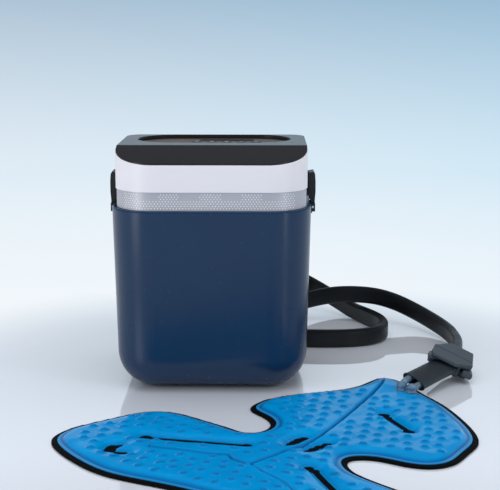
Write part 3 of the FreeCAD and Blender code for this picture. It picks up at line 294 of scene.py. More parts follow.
# Rubbers: near black and dull, greyest on the sleeve.
hose_rubber = elastomer("extruded_hose_jacket", "07090c", "14181d", 0.42, 0.7)
sleeve_rubber = elastomer("moulded_sleeve_rubber", "1f252b", "2f363d", 0.38, 0.5)
seal_rubber = elastomer("black_seal_rubber", "121316", "1d1f23", 0.6, 0.5)
silver_lacquer = make_silver()
window = make_glass()
clear_pvc = make_clear_tube()
foam = make_foam()
board = make_board()
film_blue = make_film()
fabric = make_fabric()
# Aluminium shows the lines of the cutter along Y; screw steel is bright and even.
aluminium = metal("machined_aluminium", "cfd2d6", "b3b7bd", 0.3, 0.8, (1.0, 0.08, 1.0))
steel = metal("plated_screw_steel", "c6c8cc", "a4a7ad", 0.25, 0.5, (1.0, 1.0, 1.0))
# Alumina: a chalky off-white.
ceramic = moulded("alumina_ceramic", "efece4", "e2ded4", 0.55, 0.5)

DRESSED = [
    (navy_abs, ["tub_shell"]),
    (white_abs, ["head_ring"]),
    (silver_lacquer, ["vent_band"]),
    (black_cover, ["top_cover"]),
    (black_plastic, [
        "latch_bracket_left", "latch_bracket_right", "latch_lever_left",
        "latch_lever_right", "latch_catch_left", "latch_catch_right", "power_inlet",
        "hose_port", "fan_frame", "fan_rotor", "dock_socket", "dock_plug",
        "pump_housing", "pump_motor", "impeller", "strainer", "key_switches"]),
    (panel_plastic, ["control_panel"]),
    (key_plastic, ["power_key", "mode_key", "timer_key", "minus_key", "plus_key"]),
    (window, ["display_lens", "display_module"]),
    (liner_plastic, ["tub_liner", "head_base"]),
    (foam, ["foam_insulation"]),
    (seal_rubber, ["base_mat", "rim_gasket", "coupler_seals", "strain_relief"]),
    (board, ["circuit_board"]),
    (aluminium, ["heat_sink", "cold_block"]),
    (ceramic, ["thermoelectric_element"]),
    (steel, ["latch_pins", "catch_screws", "port_screws", "board_screws",
             "temperature_probe"]),
    (coupler_plastic, ["coupler_hose_half", "coupler_wrap_half", "release_tab_left",
                       "release_tab_right"]),
    (clear_pvc, ["supply_tube", "return_tube", "wrap_tubes", "wrap_ports"]),
    (hose_rubber, ["hose", "pump_lead"]),
    (sleeve_rubber, ["wrap_sleeve"]),
    (film_blue, ["wrap_film"]),
    (fabric, ["wrap_backing"]),
]
for material, names in DRESSED:
    for name in names:
        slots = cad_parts[name].data.materials
        slots.clear()
        slots.append(material)


# ---------------------------------------------------------------- shape tools
def placed(name, data):
    """A new object in the scene."""
    holder = bpy.data.objects.new(name, data)
    scene.collection.objects.link(holder)
    return holder


def new_piece(name, vertices, faces, material, body):
    """A mesh piece in metres that rides on a body."""
    mesh = bpy.data.meshes.new(name)
    mesh.from_pydata([tuple(v) for v in vertices], [], faces)
    mesh.update()
    piece = placed(name, mesh)
    mesh.materials.append(material)
    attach(piece, body)
    return piece


def smooth_line(points, resolution):
    """Points along the NURBS curve that has the given points as its control points."""
    curve = bpy.data.curves.new("line", "CURVE")
    curve.dimensions = "3D"
    curve.resolution_u = resolution
    spline = curve.splines.new("NURBS")
    spline.points.add(len(points) - 1)
    for control, point in zip(spline.points, points):
        control.co = (*point, 1.0)
    spline.order_u = 3
    spline.use_endpoint_u = True
    holder = bpy.data.objects.new("line", curve)
    mesh = bpy.data.meshes.new_from_object(holder)
    line = [v.co.copy() for v in mesh.vertices]
    bpy.data.objects.remove(holder)
    bpy.data.curves.remove(curve)
    bpy.data.meshes.remove(mesh)
    return line


def tube(rings, closed_ends=True):
    """Vertices and faces of a skin over equal rings of points."""
    count = len(rings[0])
    vertices = [point for ring in rings for point in ring]
    faces = []
    for row in range(len(rings) - 1):
        for i in range(count):
            j = (i + 1) % count
            faces.append((row * count + i, row * count + j,
                          (row + 1) * count + j, (row + 1) * count + i))
    if closed_ends:
        last = (len(rings) - 1) * count
        faces.append(tuple(range(count))[::-1])
        faces.append(tuple(range(last, last + count)))
    return vertices, faces


def soften(piece, degrees):
    """Smooth shading that keeps edges sharper than the given angle."""
    bpy.ops.object.select_all(action="DESELECT")
    piece.select_set(True)
    bpy.context.view_layer.objects.active = piece
    bpy.ops.object.shade_smooth_by_angle(angle=math.radians(degrees))
    piece.select_set(False)


def outward(piece, gap=0.0):
    """Join points closer than the gap, and turn every face of a closed piece outwards."""
    work = bmesh.new()
    work.from_mesh(piece.data)
    if gap:
        bmesh.ops.remove_doubles(work, verts=work.verts, dist=gap)
    bmesh.ops.recalc_face_normals(work, faces=work.faces)
    work.to_mesh(piece.data)
    work.free()


def level_frames(line):
    """For each point of a line, the sideways and upward directions of its section."""
    frames = []
    for i, point in enumerate(line):
        before = line[max(i - 1, 0)]
        after = line[min(i + 1, len(line) - 1)]
        along = (after - before).normalized()
        side = along.cross(Vector((0, 0, 1))).normalized()
        frames.append((point, side, side.cross(along).normalized()))
    return frames


def rounded_section(width, height, corner, steps):
    """Points round a rounded rectangle, as (across, up) pairs."""
    section = []
    for quarter, (sx, sy) in enumerate(((1, 1), (-1, 1), (-1, -1), (1, -1))):
        for step in range(steps + 1):
            angle = math.radians(90 * (quarter + step / steps))
            section.append((sx * (width / 2 - corner) + corner * math.cos(angle),
                            sy * (height / 2 - corner) + corner * math.sin(angle)))
    return section


# ---------------------------------------------------------------- hose
HOSE_FLOOR = 13.2
HOSE_ROUTE = [
    (20, 107, 110), (20, 170, 110), (32, 235, 104), (60, 300, 88), (100, 348, 64),
    (146, 352, 40), (186, 322, 22), (208, 290, HOSE_FLOOR), (230, 252, HOSE_FLOOR),
    (247, 213, HOSE_FLOOR), (249, 172, HOSE_FLOOR), (231, 139, HOSE_FLOOR),
    (192, 124, HOSE_FLOOR), (142, 122.5, HOSE_FLOOR), (95, 130, HOSE_FLOOR),
    (56, 152, HOSE_FLOOR), (36, 190, HOSE_FLOOR), (40, 232, HOSE_FLOOR), (68, 264, 15),
    (106, 279, 24), (146, 283, 35), (186, 278, 43.5), (236, 271, 43.5), (270, 258, 37),
    (300, 234, 27), (325, 194, 19.5), (341, 150, 15.5), (344, 112, 14.2), (342.5, 76, 15.5),
    (334.5, 34.0, 17.4), (330.0, 2.4, 17.4),
]
HOSE_TALL = 26.0
HOSE_THICK = 13.0
HOSE_EDGE = 5.5


def make_hose():
    """The flat twin hose, standing on its edge along its route."""
    route = [tuple(c * MM for c in point) for point in HOSE_ROUTE]
    line = smooth_line(route, 9)
    section = rounded_section(HOSE_THICK * MM, HOSE_TALL * MM, HOSE_EDGE * MM, 6)
    rings = [[point + side * across + up * height for across, height in section]
             for point, side, up in level_frames(line)]
    vertices, faces = tube(rings)
    piece = new_piece("flat_hose", vertices, faces, hose_rubber, "machine")
    outward(piece)
    soften(piece, 40)
    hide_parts("hose")


make_hose()


# ---------------------------------------------------------------- where sleeve and tubes lie
COUPLER_PLACE = Vector((314.5, -29.8, 22.5))
COUPLER_HEADING = 8.0
COUPLER_ROLL = 25.0
# In the coupler's own frame, the wrap's side is towards -Y.
SLEEVE_OFFSET = Vector((-3.0, -10.0, -1.0))
SLEEVE_END = Vector((258.0, -99.0, 17.5))
SLEEVE_ROLL = 22.0
TUBE_SPREAD = 8.0
TUBE_INSIDE = 30.0
TUBE_KNEE = 4.0
TUBE_REACH = 12.0
TUBE_FOOT = 12.0
TUBE_MIDDLE = 0.6
TUBE_BEND = 0.78
TUBE_BEND_HEIGHTS = (16.8, 14.0)


def sleeve_frame():
    """The sleeve's start, its direction, and the directions of its width and thickness."""
    turn = (Matrix.Rotation(math.radians(-COUPLER_HEADING), 3, "Z")
            @ Matrix.Rotation(math.radians(COUPLER_ROLL), 3, "Y"))
    start = COUPLER_PLACE + turn @ SLEEVE_OFFSET
    along = (SLEEVE_END - start).normalized()
    level = Vector((-along.y, along.x, 0)).normalized()
    rise = along.cross(level)
    roll = math.radians(SLEEVE_ROLL)
    across = level * math.cos(roll) - rise * math.sin(roll)
    through = rise * math.cos(roll) + level * math.sin(roll)
    return start, along, across, through


SLEEVE_START, SLEEVE_ALONG, SLEEVE_ACROSS, SLEEVE_THROUGH = sleeve_frame()


def tube_route(side, bend_height):
    """A wrap tube's route: out of the sleeve on one side, over a knee and down to its port."""
    mouth = SLEEVE_END + SLEEVE_ACROSS * (side * TUBE_SPREAD)
    first = mouth - SLEEVE_ALONG * TUBE_INSIDE
    knee = mouth + SLEEVE_ALONG * TUBE_KNEE
    foot = knee + SLEEVE_ALONG * TUBE_REACH
    foot.z = TUBE_FOOT
    bend = knee.lerp(foot, TUBE_BEND)
    bend.z = bend_height
    return [first, first.lerp(knee, TUBE_MIDDLE), knee, bend, foot]


TUBE_ROUTES = [tube_route(side, height) for side, height in zip((-1, 1), TUBE_BEND_HEIGHTS)]
PORTS = [(route[-1].x, route[-1].y) for route in TUBE_ROUTES]


# ---------------------------------------------------------------- wrap
WRAP_OUTLINE = [
    (-174, -270), (-163, -241), (-137, -216), (-100, -188), (-72, -173), (-42, -177),
    (-6, -203), (27, -231), (51, -247), (69, -238), (75, -213), (65, -189),
    (51, -163), (61, -137), (88, -114), (128, -97), (169, -84), (200, -66), (225, -46),
    (245, -58), (269, -98), (289, -142), (304, -195), (312, -245), (309, -281),
    (292, -313), (268, -346), (243, -354), (211, -343), (181, -329), (161, -333),
    (158, -352), (174, -382), (204, -414), (234, -454), (243, -498), (216, -526),
    (168, -524), (121, -504), (57, -465), (0, -430), (-43, -407), (-71, -394),
    (-104, -375), (-136, -343), (-161, -308),
]
LONG_SLIT = [(-71, -272), (-21, -282), (50, -297)]
# Slits through the film. The long one is there twice, 3 mm apart, and so is wider.
SLITS = [
    LONG_SLIT, [(x, y + 3) for x, y in LONG_SLIT],
    [(209, -186), (219, -208), (237, -251)],
    [(95, -292), (105, -277), (114, -271)],
    [(115, -312), (126, -300), (140, -288)],
    [(114, -360), (122, -372), (131, -400), (144, -436), (158, -465)],
    [(-93, -295), (-105, -303), (-101, -315), (-83, -321)],
]
# Where the slits open out: x, y and radius.
SLIT_EYES = [
    (-67, -269, 7.6), (-24, -280, 5.6), (-15, -282, 5.6), (48, -294, 7.0), (212, -189, 7.2),
    (216, -199, 5.0), (235, -247, 7.2), (98, -289, 6.0), (103, -282, 6.6), (108, -275, 6.8),
    (114, -271, 6.2), (117, -311, 5.6), (123, -305, 6.2), (130, -297, 6.2), (138, -290, 5.6),
    (115, -361, 6.2), (121, -369, 6.0), (-101, -300, 7.4), (-103, -309, 7.6), (-87, -320, 6.0),
]
SEAMS = [
    [(224, -58), (217, -83), (198, -127), (165, -200), (131, -269), (109, -302),
     (80, -328), (51, -358)],
    [(51, -358), (36, -343), (30, -331), (16, -329), (-8, -322), (-32, -314), (-58, -307)],
    [(51, -358), (65, -382), (87, -411), (94, -427)],
]
BACKING_CELL = 3.0
FILM_CELL = 1.2
FILM_BORDER = 7.0
BACKING_TOP = 3.0
FLANGE_WIDTH = 6.0
SHEET = 0.9
PLATEAU = 6.0
SHOULDER = 3.4
RIPPLE = 0.45
LEAST_SWELL = 0.3
# A seam is a groove on the line, a shoulder beside it and a bead on its far side.
SEAM_LINE = 1.7
SEAM_GROOVE = 0.5
SEAM_SHOULDER = 1.2
SEAM_BEAD = 1.6
SEAM_BEAD_PLACE = -0.9
SEAM_BEAD_WIDTH = 1.7
SLIT_HALF = 4.0
SLIT_RIM = 1.8
SLIT_BEAD = 0.7
# Blisters: their lattice, how far each strays from it, how clear each stays, and their size.
BLISTER_PITCH = 20.0
BLISTER_ROWS = 0.87
BLISTER_TURN = 0.35
BLISTER_ORIGIN = (70, -300)
BLISTER_STRAY = 2.6
BLISTER_FROM_EDGE = 15
BLISTER_FROM_SLIT = 8
BLISTER_FROM_SEAM = 10
BLISTER_FROM_PORT = 20
BLISTER_HEIGHT = 3.0
BLISTER_RADIUS = 4.2
BLISTER_REACH = 20
APEX = (225.0, -46.0)
APEX_LIFT = 4.0
APEX_REACH = 82.0


def closed_line(points, per_span):
    """Points along a smooth closed curve through the given ones: a periodic cubic spline."""
    known = np.array(points, float)
    count = len(known)
    spans = np.linalg.norm(np.roll(known, -1, 0) - known, axis=1)
    system = np.zeros((count, count))
    right = np.zeros((count, 2))
    for i in range(count):
        before, here, after = spans[i - 1], spans[i], (i + 1) % count
        system[i, i - 1] += before
        system[i, i] += 2 * (before + here)
        system[i, after] += here
        right[i] = 6 * ((known[after] - known[i]) / here - (known[i] - known[i - 1]) / before)
    bends = np.linalg.solve(system, right)
    line = []
    for i in range(count):
        after, span = (i + 1) % count, spans[i]
        for step in range(per_span):
            near = span * step / per_span
            far = span - near
            line.append(bends[i] * far ** 3 / (6 * span) + bends[after] * near ** 3 / (6 * span)
                        + (known[i] / span - bends[i] * span / 6) * far
                        + (known[after] / span - bends[after] * span / 6) * near)
    return np.array(line)


def distance_to(x, y, points, closed=False):
    """Distance from every (x, y) to a line of points."""
    line = np.array(points, float)
    ends = np.roll(line, -1, 0)
    if not closed:
        line, ends = line[:-1], ends[:-1]
    nearest = np.full(x.shape, 1e9)
    for (ax, ay), (bx, by) in zip(line, ends):
        dx, dy = bx - ax, by - ay
        share = np.clip(((x - ax) * dx + (y - ay) * dy) / (dx * dx + dy * dy + 1e-12), 0, 1)
        nearest = np.minimum(nearest, np.hypot(x - ax - share * dx, y - ay - share * dy))
    return nearest


def inside_of(x, y, points):
    """True where (x, y) lies inside a closed line."""
    inside = np.zeros(x.shape, bool)
    for (ax, ay), (bx, by) in zip(points, np.roll(points, -1, 0)):
        if ay != by:
            crosses = (ay > y) != (by > y)
            inside ^= crosses & (x < (bx - ax) * (y - ay) / (by - ay) + ax)
    return inside


OUTLINE = closed_line(WRAP_OUTLINE, 6)


def depth_inside(x, y):
    """How far (x, y) is inside the wrap's outline; less than 0 outside it."""
    away = distance_to(x, y, OUTLINE, closed=True)
    return np.where(inside_of(x, y, OUTLINE), away, -away)


def slit_gap(x, y):
    """How far (x, y) is from the edge of the nearest slit."""
    gap = np.full(x.shape, 1e9)
    for points in SLITS:
        gap = np.minimum(gap, distance_to(x, y, points) - SLIT_HALF)
    for eye_x, eye_y, radius in SLIT_EYES:
        gap = np.minimum(gap, np.hypot(x - eye_x, y - eye_y) - radius)
    return gap


def seam_side(x, y):
    """Distance to the nearest seam: positive on its near side, negative beyond it."""
    signed = np.full(x.shape, 1e9)
    for points in SEAMS:
        for (ax, ay), (bx, by) in zip(points, points[1:]):
            away = distance_to(x, y, [(ax, ay), (bx, by)])
            side = np.where((bx - ax) * (y - ay) - (by - ay) * (x - ax) > 0, 1, -1)
            signed = np.where(away < np.abs(signed), away * side, signed)
    return signed


class Place:
    """Points on the wrap, with their distances to its outline, slits and seams."""

    def __init__(self, x, y):
        self.x = x
        self.y = y
        self.depth = depth_inside(x, y)
        self.slit = slit_gap(x, y)
        self.seam = seam_side(x, y)


def ease(value):
    """Smooth step from 0 to 1."""
    value = np.clip(value, 0, 1)
    return value * value * (3 - 2 * value)


def apex_lift(at):
    """The corner next to the tubes is bent up off the floor."""
    away = np.hypot(at.x - APEX[0], at.y - APEX[1])
    return APEX_LIFT * ease(1 - away / APEX_REACH)


def field_mesh(name, cell, domain, top, bottom, material, body, values=None):
    """A closed piece between two height fields, over the region where domain is positive.

    The domain is a function of (x, y), and the rim's points are moved onto its edge. The
    others are functions of a Place: `values` gives attributes kept on the mesh.
    """
    low = np.array(WRAP_OUTLINE).min(0) - 3 * cell - 8
    high = np.array(WRAP_OUTLINE).max(0) + 3 * cell + 8
    xs = np.arange(low[0], high[0], cell)
    ys = np.arange(low[1], high[1], cell)
    x, y = np.meshgrid(xs, ys, indexing="ij")
    reach = domain(x, y)
    kept = reach > -0.4 * cell
    corners = [kept[:-1, :-1], kept[1:, :-1], kept[1:, 1:], kept[:-1, 1:]]
    number = np.arange(x.size).reshape(x.shape)
    ids = [number[:-1, :-1], number[1:, :-1], number[1:, 1:], number[:-1, 1:]]
    total = sum(corner.astype(int) for corner in corners)
    faces = [tuple(int(v) for v in quad)
             for quad in np.stack([i[total == 4] for i in ids], 1)]
    for missing in range(4):
        here = (total == 3) & ~corners[missing]
        keep = [i for i in range(4) if i != missing]
        faces += [tuple(int(v) for v in triple)
                  for triple in np.stack([ids[i][here] for i in keep], 1)]
    edges = {}
    for face in faces:
        for a, b in zip(face, face[1:] + face[:1]):
            if (b, a) in edges:
                del edges[(b, a)]
            else:
                edges[(a, b)] = True
    rim = sorted({v for edge in edges for v in edge})
    slope_x, slope_y = np.gradient(reach, cell)
    size = np.hypot(slope_x, slope_y) + 1e-9
    flat_x, flat_y = x.ravel().copy(), y.ravel().copy()
    for _ in range(3):
        here = domain(flat_x[rim], flat_y[rim])
        flat_x[rim] -= here * (slope_x / size).ravel()[rim]
        flat_y[rim] -= here * (slope_y / size).ravel()[rim]
    used = sorted({v for face in faces for v in face})
    place = {v: i for i, v in enumerate(used)}
    px, py = flat_x[used], flat_y[used]
    at = Place(px, py)
    up, down = top(at), bottom(at)
    count = len(used)
    vertices = np.concatenate([np.stack([px, py, up], 1), np.stack([px, py, down], 1)]) * MM
    skin = [tuple(place[v] for v in face) for face in faces]
    under = [tuple(v + count for v in reversed(face)) for face in skin]
    walls = [(place[b], place[a], place[a] + count, place[b] + count) for a, b in edges]
    piece = new_piece(name, vertices, skin + under + walls, material, body)
    for attribute, value in (values or {}).items():
        layer = piece.data.attributes.new(attribute, "FLOAT", "POINT")
        both = np.tile(value(at), 2).astype(np.float32)
        layer.data.foreach_set("value", both)
    return piece


def blister_places():
    """Where the film has its blisters: a loose lattice, clear of the welds and the ports."""
    generator = np.random.default_rng(7)
    rows = np.arange(-30, 31)
    column, row = np.meshgrid(rows, rows)
    u = (column + 0.5 * (row % 2)) * BLISTER_PITCH
    v = row * BLISTER_PITCH * BLISTER_ROWS
    along, across = math.cos(BLISTER_TURN), math.sin(BLISTER_TURN)
    stray_x = generator.uniform(-BLISTER_STRAY, BLISTER_STRAY, u.shape)
    stray_y = generator.uniform(-BLISTER_STRAY, BLISTER_STRAY, u.shape)
    x = BLISTER_ORIGIN[0] + u * along - v * across + stray_x
    y = BLISTER_ORIGIN[1] + u * across + v * along + stray_y
    at = Place(x.ravel(), y.ravel())
    free = ((at.depth > FILM_BORDER + BLISTER_FROM_EDGE) & (at.slit > BLISTER_FROM_SLIT)
            & (np.abs(at.seam) > BLISTER_FROM_SEAM))
    for px, py in PORTS:
        free &= np.hypot(at.x - px, at.y - py) > BLISTER_FROM_PORT
    return list(zip(at.x[free], at.y[free]))


BLISTERS = blister_places()


def blister_lift(at):
    """How far the blisters stand up from the film."""
    lift = np.zeros(at.x.shape)
    for px, py in BLISTERS:
        away = np.hypot(at.x - px, at.y - py)
        near = away < BLISTER_REACH
        lift[near] += BLISTER_HEIGHT * np.exp(-(away[near] / BLISTER_RADIUS) ** 3)
    return lift


def ridge(distance, place, width):
    """1 at a place, falling off on both sides over about this width."""
    return np.exp(-((distance - place) / width) ** 2)


def film_height(at):
    """Height of the film above the backing."""
    edge = at.depth - FILM_BORDER
    gap = np.minimum(edge - FLANGE_WIDTH, at.slit - SLIT_RIM)
    shoulder = 1 - np.exp(-np.maximum(gap, 0) / SHOULDER)
    fold = np.maximum(np.abs(at.seam - SEAM_LINE) - SEAM_GROOVE, 0)
    shoulder = np.minimum(shoulder, 1 - np.exp(-fold / SEAM_SHOULDER))
    ripple = (np.sin(at.x / 9.1 + 1.7 * np.sin(at.y / 13.0))
              * np.sin(at.y / 10.3 + 1.3 * np.sin(at.x / 17.0)))
    swell = PLATEAU - SHEET + RIPPLE * ripple + blister_lift(at)
    for px, py in PORTS:
        flat = ease(1.7 - np.hypot(at.x - px, at.y - py) / 8.0)
        swell = swell * (1 - flat) + (PLATEAU - SHEET) * flat
    height = SHEET + np.maximum(swell, LEAST_SWELL) * shoulder
    bead = ridge(at.seam, SEAM_BEAD_PLACE, SEAM_BEAD_WIDTH)
    height += SEAM_BEAD * bead * np.clip(edge / 20, 0, 1)
    height += 0.2 * ridge(edge, 2.4, 1.3)
    return height + SLIT_BEAD * ridge(at.slit, 1.2, 1.1)


def film_top(at):
    """Height of the film's upper face above the floor."""
    return BACKING_TOP + film_height(at) + apex_lift(at)


def film_bottom(at):
    """Height of the film's lower face, which is pressed a little into the backing."""
    return BACKING_TOP - 0.2 + apex_lift(at)


def film_domain(x, y):
    """How far (x, y) is inside the film, away from its edge and its slits."""
    return np.minimum(depth_inside(x, y) - FILM_BORDER, slit_gap(x, y))


def weld_and_blister_shade(at):
    """1 in the sunk lines of the welds and less beside a slit; on a blister's near foot it is
    painted shade.
    """
    edge = at.depth - FILM_BORDER - FLANGE_WIDTH + 0.8
    line = 0.8 * ridge(edge, 0.0, 2.2)
    line = np.maximum(line, ridge(at.seam, SEAM_LINE, 1.2))
    line = np.maximum(line, 0.4 * ridge(at.slit, SLIT_RIM, 0.9))
    # Painted shade: the foot of each blister on its near side, towards -Y, is darkened as if in
    # shadow.
    for px, py in BLISTERS:
        away = np.hypot(at.x - px, at.y - py)
        painted_shade_side = ease(0.3 - (at.y - py) / 3.0)
        line = np.maximum(line, 0.6 * painted_shade_side * ridge(away, 3.2, 1.5))
    return line


def flange_highlight(at):
    """1 on the flat flange outside the welds, which the film paints paler as a painted highlight.
    """
    edge = at.depth - FILM_BORDER
    return ease((FLANGE_WIDTH - 0.5 - edge) / 1.5)


def edge_curl(at, rise):
    """Rounds the backing's cut edge off by this much."""
    share = np.clip(at.depth / 1.6, 0, 1)
    return rise * (1 - np.sqrt(1 - (1 - share) ** 2))


def backing_top(at):
    """Height of the backing's upper face above the floor."""
    return BACKING_TOP - edge_curl(at, 1.1) + apex_lift(at)


def backing_bottom(at):
    """Height of the backing's lower face above the floor."""
    return edge_curl(at, 0.8) + apex_lift(at)


def make_wrap():
    """The black fabric backing, and the blue bladder on it."""
    backing = field_mesh("fabric_backing", BACKING_CELL, depth_inside, backing_top,
                         backing_bottom, fabric, "wrap")
    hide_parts("wrap_backing")
    soften(backing, 50)
    # The film's values darken its welds, paint shade on each blister's near foot and paint its
    # flange paler as a painted highlight.
    film = field_mesh("film_bladder", FILM_CELL, film_domain, film_top, film_bottom,
                      film_blue, "wrap", {"weld_and_shade": weld_and_blister_shade, "flange": flange_highlight})
    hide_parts("wrap_film")
    soften(film, 65)


make_wrap()


# ---------------------------------------------------------------- sleeve, tubes and ports
SLEEVE_WIDTH = 33.0
SLEEVE_THICK = 13.0
SLEEVE_WALL = 1.5
SLEEVE_DEPTH = 34.0
TUBE_RADIUS = 4.5
TUBE_BORE = 3.0
FILM_UP = 9.6
SEAM_GAP = 1e-6


def sleeve_ring(place, grow):
    """A ring of points round the sleeve's oval section, this much bigger than it."""
    ring = []
    for step in range(48):
        angle = 2 * math.pi * step / 48
        a, b = math.cos(angle), math.sin(angle)
        a = math.copysign(abs(a) ** 0.86, a) * (SLEEVE_WIDTH / 2 + grow)
        b = math.copysign(abs(b) ** 0.86, b) * (SLEEVE_THICK / 2 + grow)
        ring.append((place + SLEEVE_ACROSS * a + SLEEVE_THROUGH * b) * MM)
    return ring


def make_sleeve():
    """The rubber sleeve: a flattened tube with a rolled end that the wrap's tubes come out of."""
    rings = [sleeve_ring(SLEEVE_START.lerp(SLEEVE_END, share), -0.35 * math.sin(share * math.pi))
             for share in (0, 0.2, 0.4, 0.6, 0.8, 0.93)]
    for back, grow in ((2.4, 0.0), (2.1, 0.6), (1.2, 0.9), (0.3, 0.6), (0.0, 0.0),
                       (0.3, -SLEEVE_WALL)):
        rings.append(sleeve_ring(SLEEVE_END - SLEEVE_ALONG * back, grow))
    rings.append(sleeve_ring(SLEEVE_END - SLEEVE_ALONG * SLEEVE_DEPTH, -SLEEVE_WALL))
    vertices, faces = tube(rings)
    piece = new_piece("rubber_sleeve", vertices, faces, sleeve_rubber, "wrap")
    outward(piece)
    soften(piece, 40)
    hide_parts("wrap_sleeve")


def make_wrap_tubes():
    """Two clear tubes, each bending down from the sleeve into its port."""
    vertices, faces = [], []
    for route in TUBE_ROUTES:
        line = smooth_line([tuple(c * MM for c in point) for point in route], 8)
        rings = []
        for radius, part in ((TUBE_RADIUS, level_frames(line)),
                             (TUBE_BORE, level_frames(line)[::-1])):
            for point, side, up in part:
                rings.append([point + (side * math.cos(a) + up * math.sin(a)) * radius * MM
                              for a in [2 * math.pi * step / 20 for step in range(20)]])
        rings.append(rings[0])
        here, skin = tube(rings, closed_ends=False)
        faces += [tuple(v + len(vertices) for v in face) for face in skin]
        vertices += here
    piece = new_piece("clear_tubes", vertices, faces, clear_pvc, "wrap")
    outward(piece, SEAM_GAP)
    soften(piece, 40)
    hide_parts("wrap_tubes")


# ---------------------------------------------------------------- pieces shaped by hand
def begin(piece_name):
    """Name the primitive that was just added, and go into edit mode with nothing selected."""
    piece = bpy.context.object
    piece.name = piece_name
    piece.data.name = piece_name
    bpy.ops.object.transform_apply(location=True, rotation=True, scale=True)
    bpy.ops.object.mode_set(mode="EDIT")
    bpy.ops.mesh.select_mode(type="FACE")
    bpy.ops.mesh.select_all(action="DESELECT")
    return piece


def pick(piece, kind, test):
    """Select the edges or faces whose middle passes the test."""
    bpy.ops.mesh.select_all(action="DESELECT")
    bpy.ops.mesh.select_mode(type=kind)
    work = bmesh.from_edit_mesh(piece.data)
    for element in work.edges if kind == "EDGE" else work.faces:
        middle = sum((v.co for v in element.verts), Vector()) / len(element.verts)
        element.select_set(bool(test(middle)))
    work.select_flush_mode()
    bmesh.update_edit_mesh(piece.data)


def finish_piece(piece, material, body):
    """Shade a modelled piece, dress it and let it ride on its body."""
    bpy.ops.object.mode_set(mode="OBJECT")
    piece.data.materials.clear()
    piece.data.materials.append(material)
    soften(piece, 35)
    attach(piece, body)


def joined(parts, name):
    """One piece made of several."""
    bpy.ops.object.select_all(action="DESELECT")
    for part in parts:
        part.select_set(True)
    bpy.context.view_layer.objects.active = parts[0]
    if len(parts) > 1:
        bpy.ops.object.join()
    whole = bpy.context.object
    whole.name = name
    whole.data.name = name
    return whole


def copies(piece, places, name):
    """Copies of a piece modelled at the origin, joined into one piece at the given places."""
    parts = []
    for matrix in places:
        copy = piece.copy()
        copy.data = piece.data.copy()
        copy.data.transform(matrix)
        scene.collection.objects.link(copy)
        parts.append(copy)
    bpy.data.objects.remove(piece)
    return joined(parts, name)


def turned(name, profile, sides):
    """A round piece: a circle whose rim is drawn out through (radius, height) steps."""
    radius, height = profile[0]
    bpy.ops.object.select_all(action="DESELECT")
    bpy.ops.mesh.primitive_circle_add(vertices=sides, radius=radius, fill_type="NGON",
                                      location=(0, 0, height))
    piece = begin(name)
    bpy.ops.mesh.select_all(action="SELECT")
    bpy.ops.mesh.select_mode(type="EDGE")
    bpy.ops.mesh.region_to_loop()
    for next_radius, next_height in profile[1:]:
        bpy.ops.mesh.extrude_edges_move()
        grow = next_radius / radius
        bpy.ops.transform.resize(value=(grow, grow, 1), center_override=(0, 0, 0))
        bpy.ops.transform.translate(value=(0, 0, next_height - height))
        radius, height = next_radius, next_height
    return piece


# The section of a port: its welded disc, a step, the wall of its dome and the dome.
PORT_PROFILE = [(7.0, 0.0), (7.0, 0.7), (6.7, 1.1), (6.1, 1.3), (5.8, 1.8), (5.8, 5.5),
                (6.0, 5.8), (6.0, 6.6), (5.8, 7.0), (5.4, 8.2), (4.6, 9.2), (3.4, 10.0),
                (2.0, 10.6), (0.8, 10.8)]


def make_ports():
    """Two domed ports on the film, each with its welded disc and a clamp bead."""
    piece = turned("ports", [(radius * MM, height * MM) for radius, height in PORT_PROFILE],
                   32)
    bpy.ops.mesh.edge_face_add()
    bpy.ops.object.mode_set(mode="OBJECT")
    outward(piece)
    places = [Matrix.Translation((x * MM, y * MM, FILM_UP * MM)) for x, y in PORTS]
    ports = copies(piece, places, "port_domes")
    finish_piece(ports, clear_pvc, "wrap")
    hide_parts("wrap_ports")


HEAD_HALF_WIDTH = 122.5
HEAD_HALF_DEPTH = 100.0
FRONT_CORNER = 51.0
BAND_INSET = 1.2
VENT_HOLE = 1.5
VENT_PITCH = 3.9
VENT_ROW_PITCH = 2.85
VENT_ROWS = 7
VENT_FULL_ROWS = 4
VENT_FIRST = 240.3
VENT_REACH = 112.0
VENT_WAVE = 52.0


def band_place(along, height):
    """Where an air hole is on the band's front, as a matrix whose -Y points outwards."""
    radius = FRONT_CORNER - BAND_INSET
    flat = HEAD_HALF_WIDTH - FRONT_CORNER
    side = math.copysign(1, along)
    turn = max(abs(along) - flat, 0) / radius
    x = side * (min(abs(along), flat) + radius * math.sin(turn))
    y = FRONT_CORNER - HEAD_HALF_DEPTH - radius * math.cos(turn)
    return (Matrix.Translation((x * MM, y * MM, height * MM))
            @ Matrix.Rotation(side * turn, 4, "Z"))


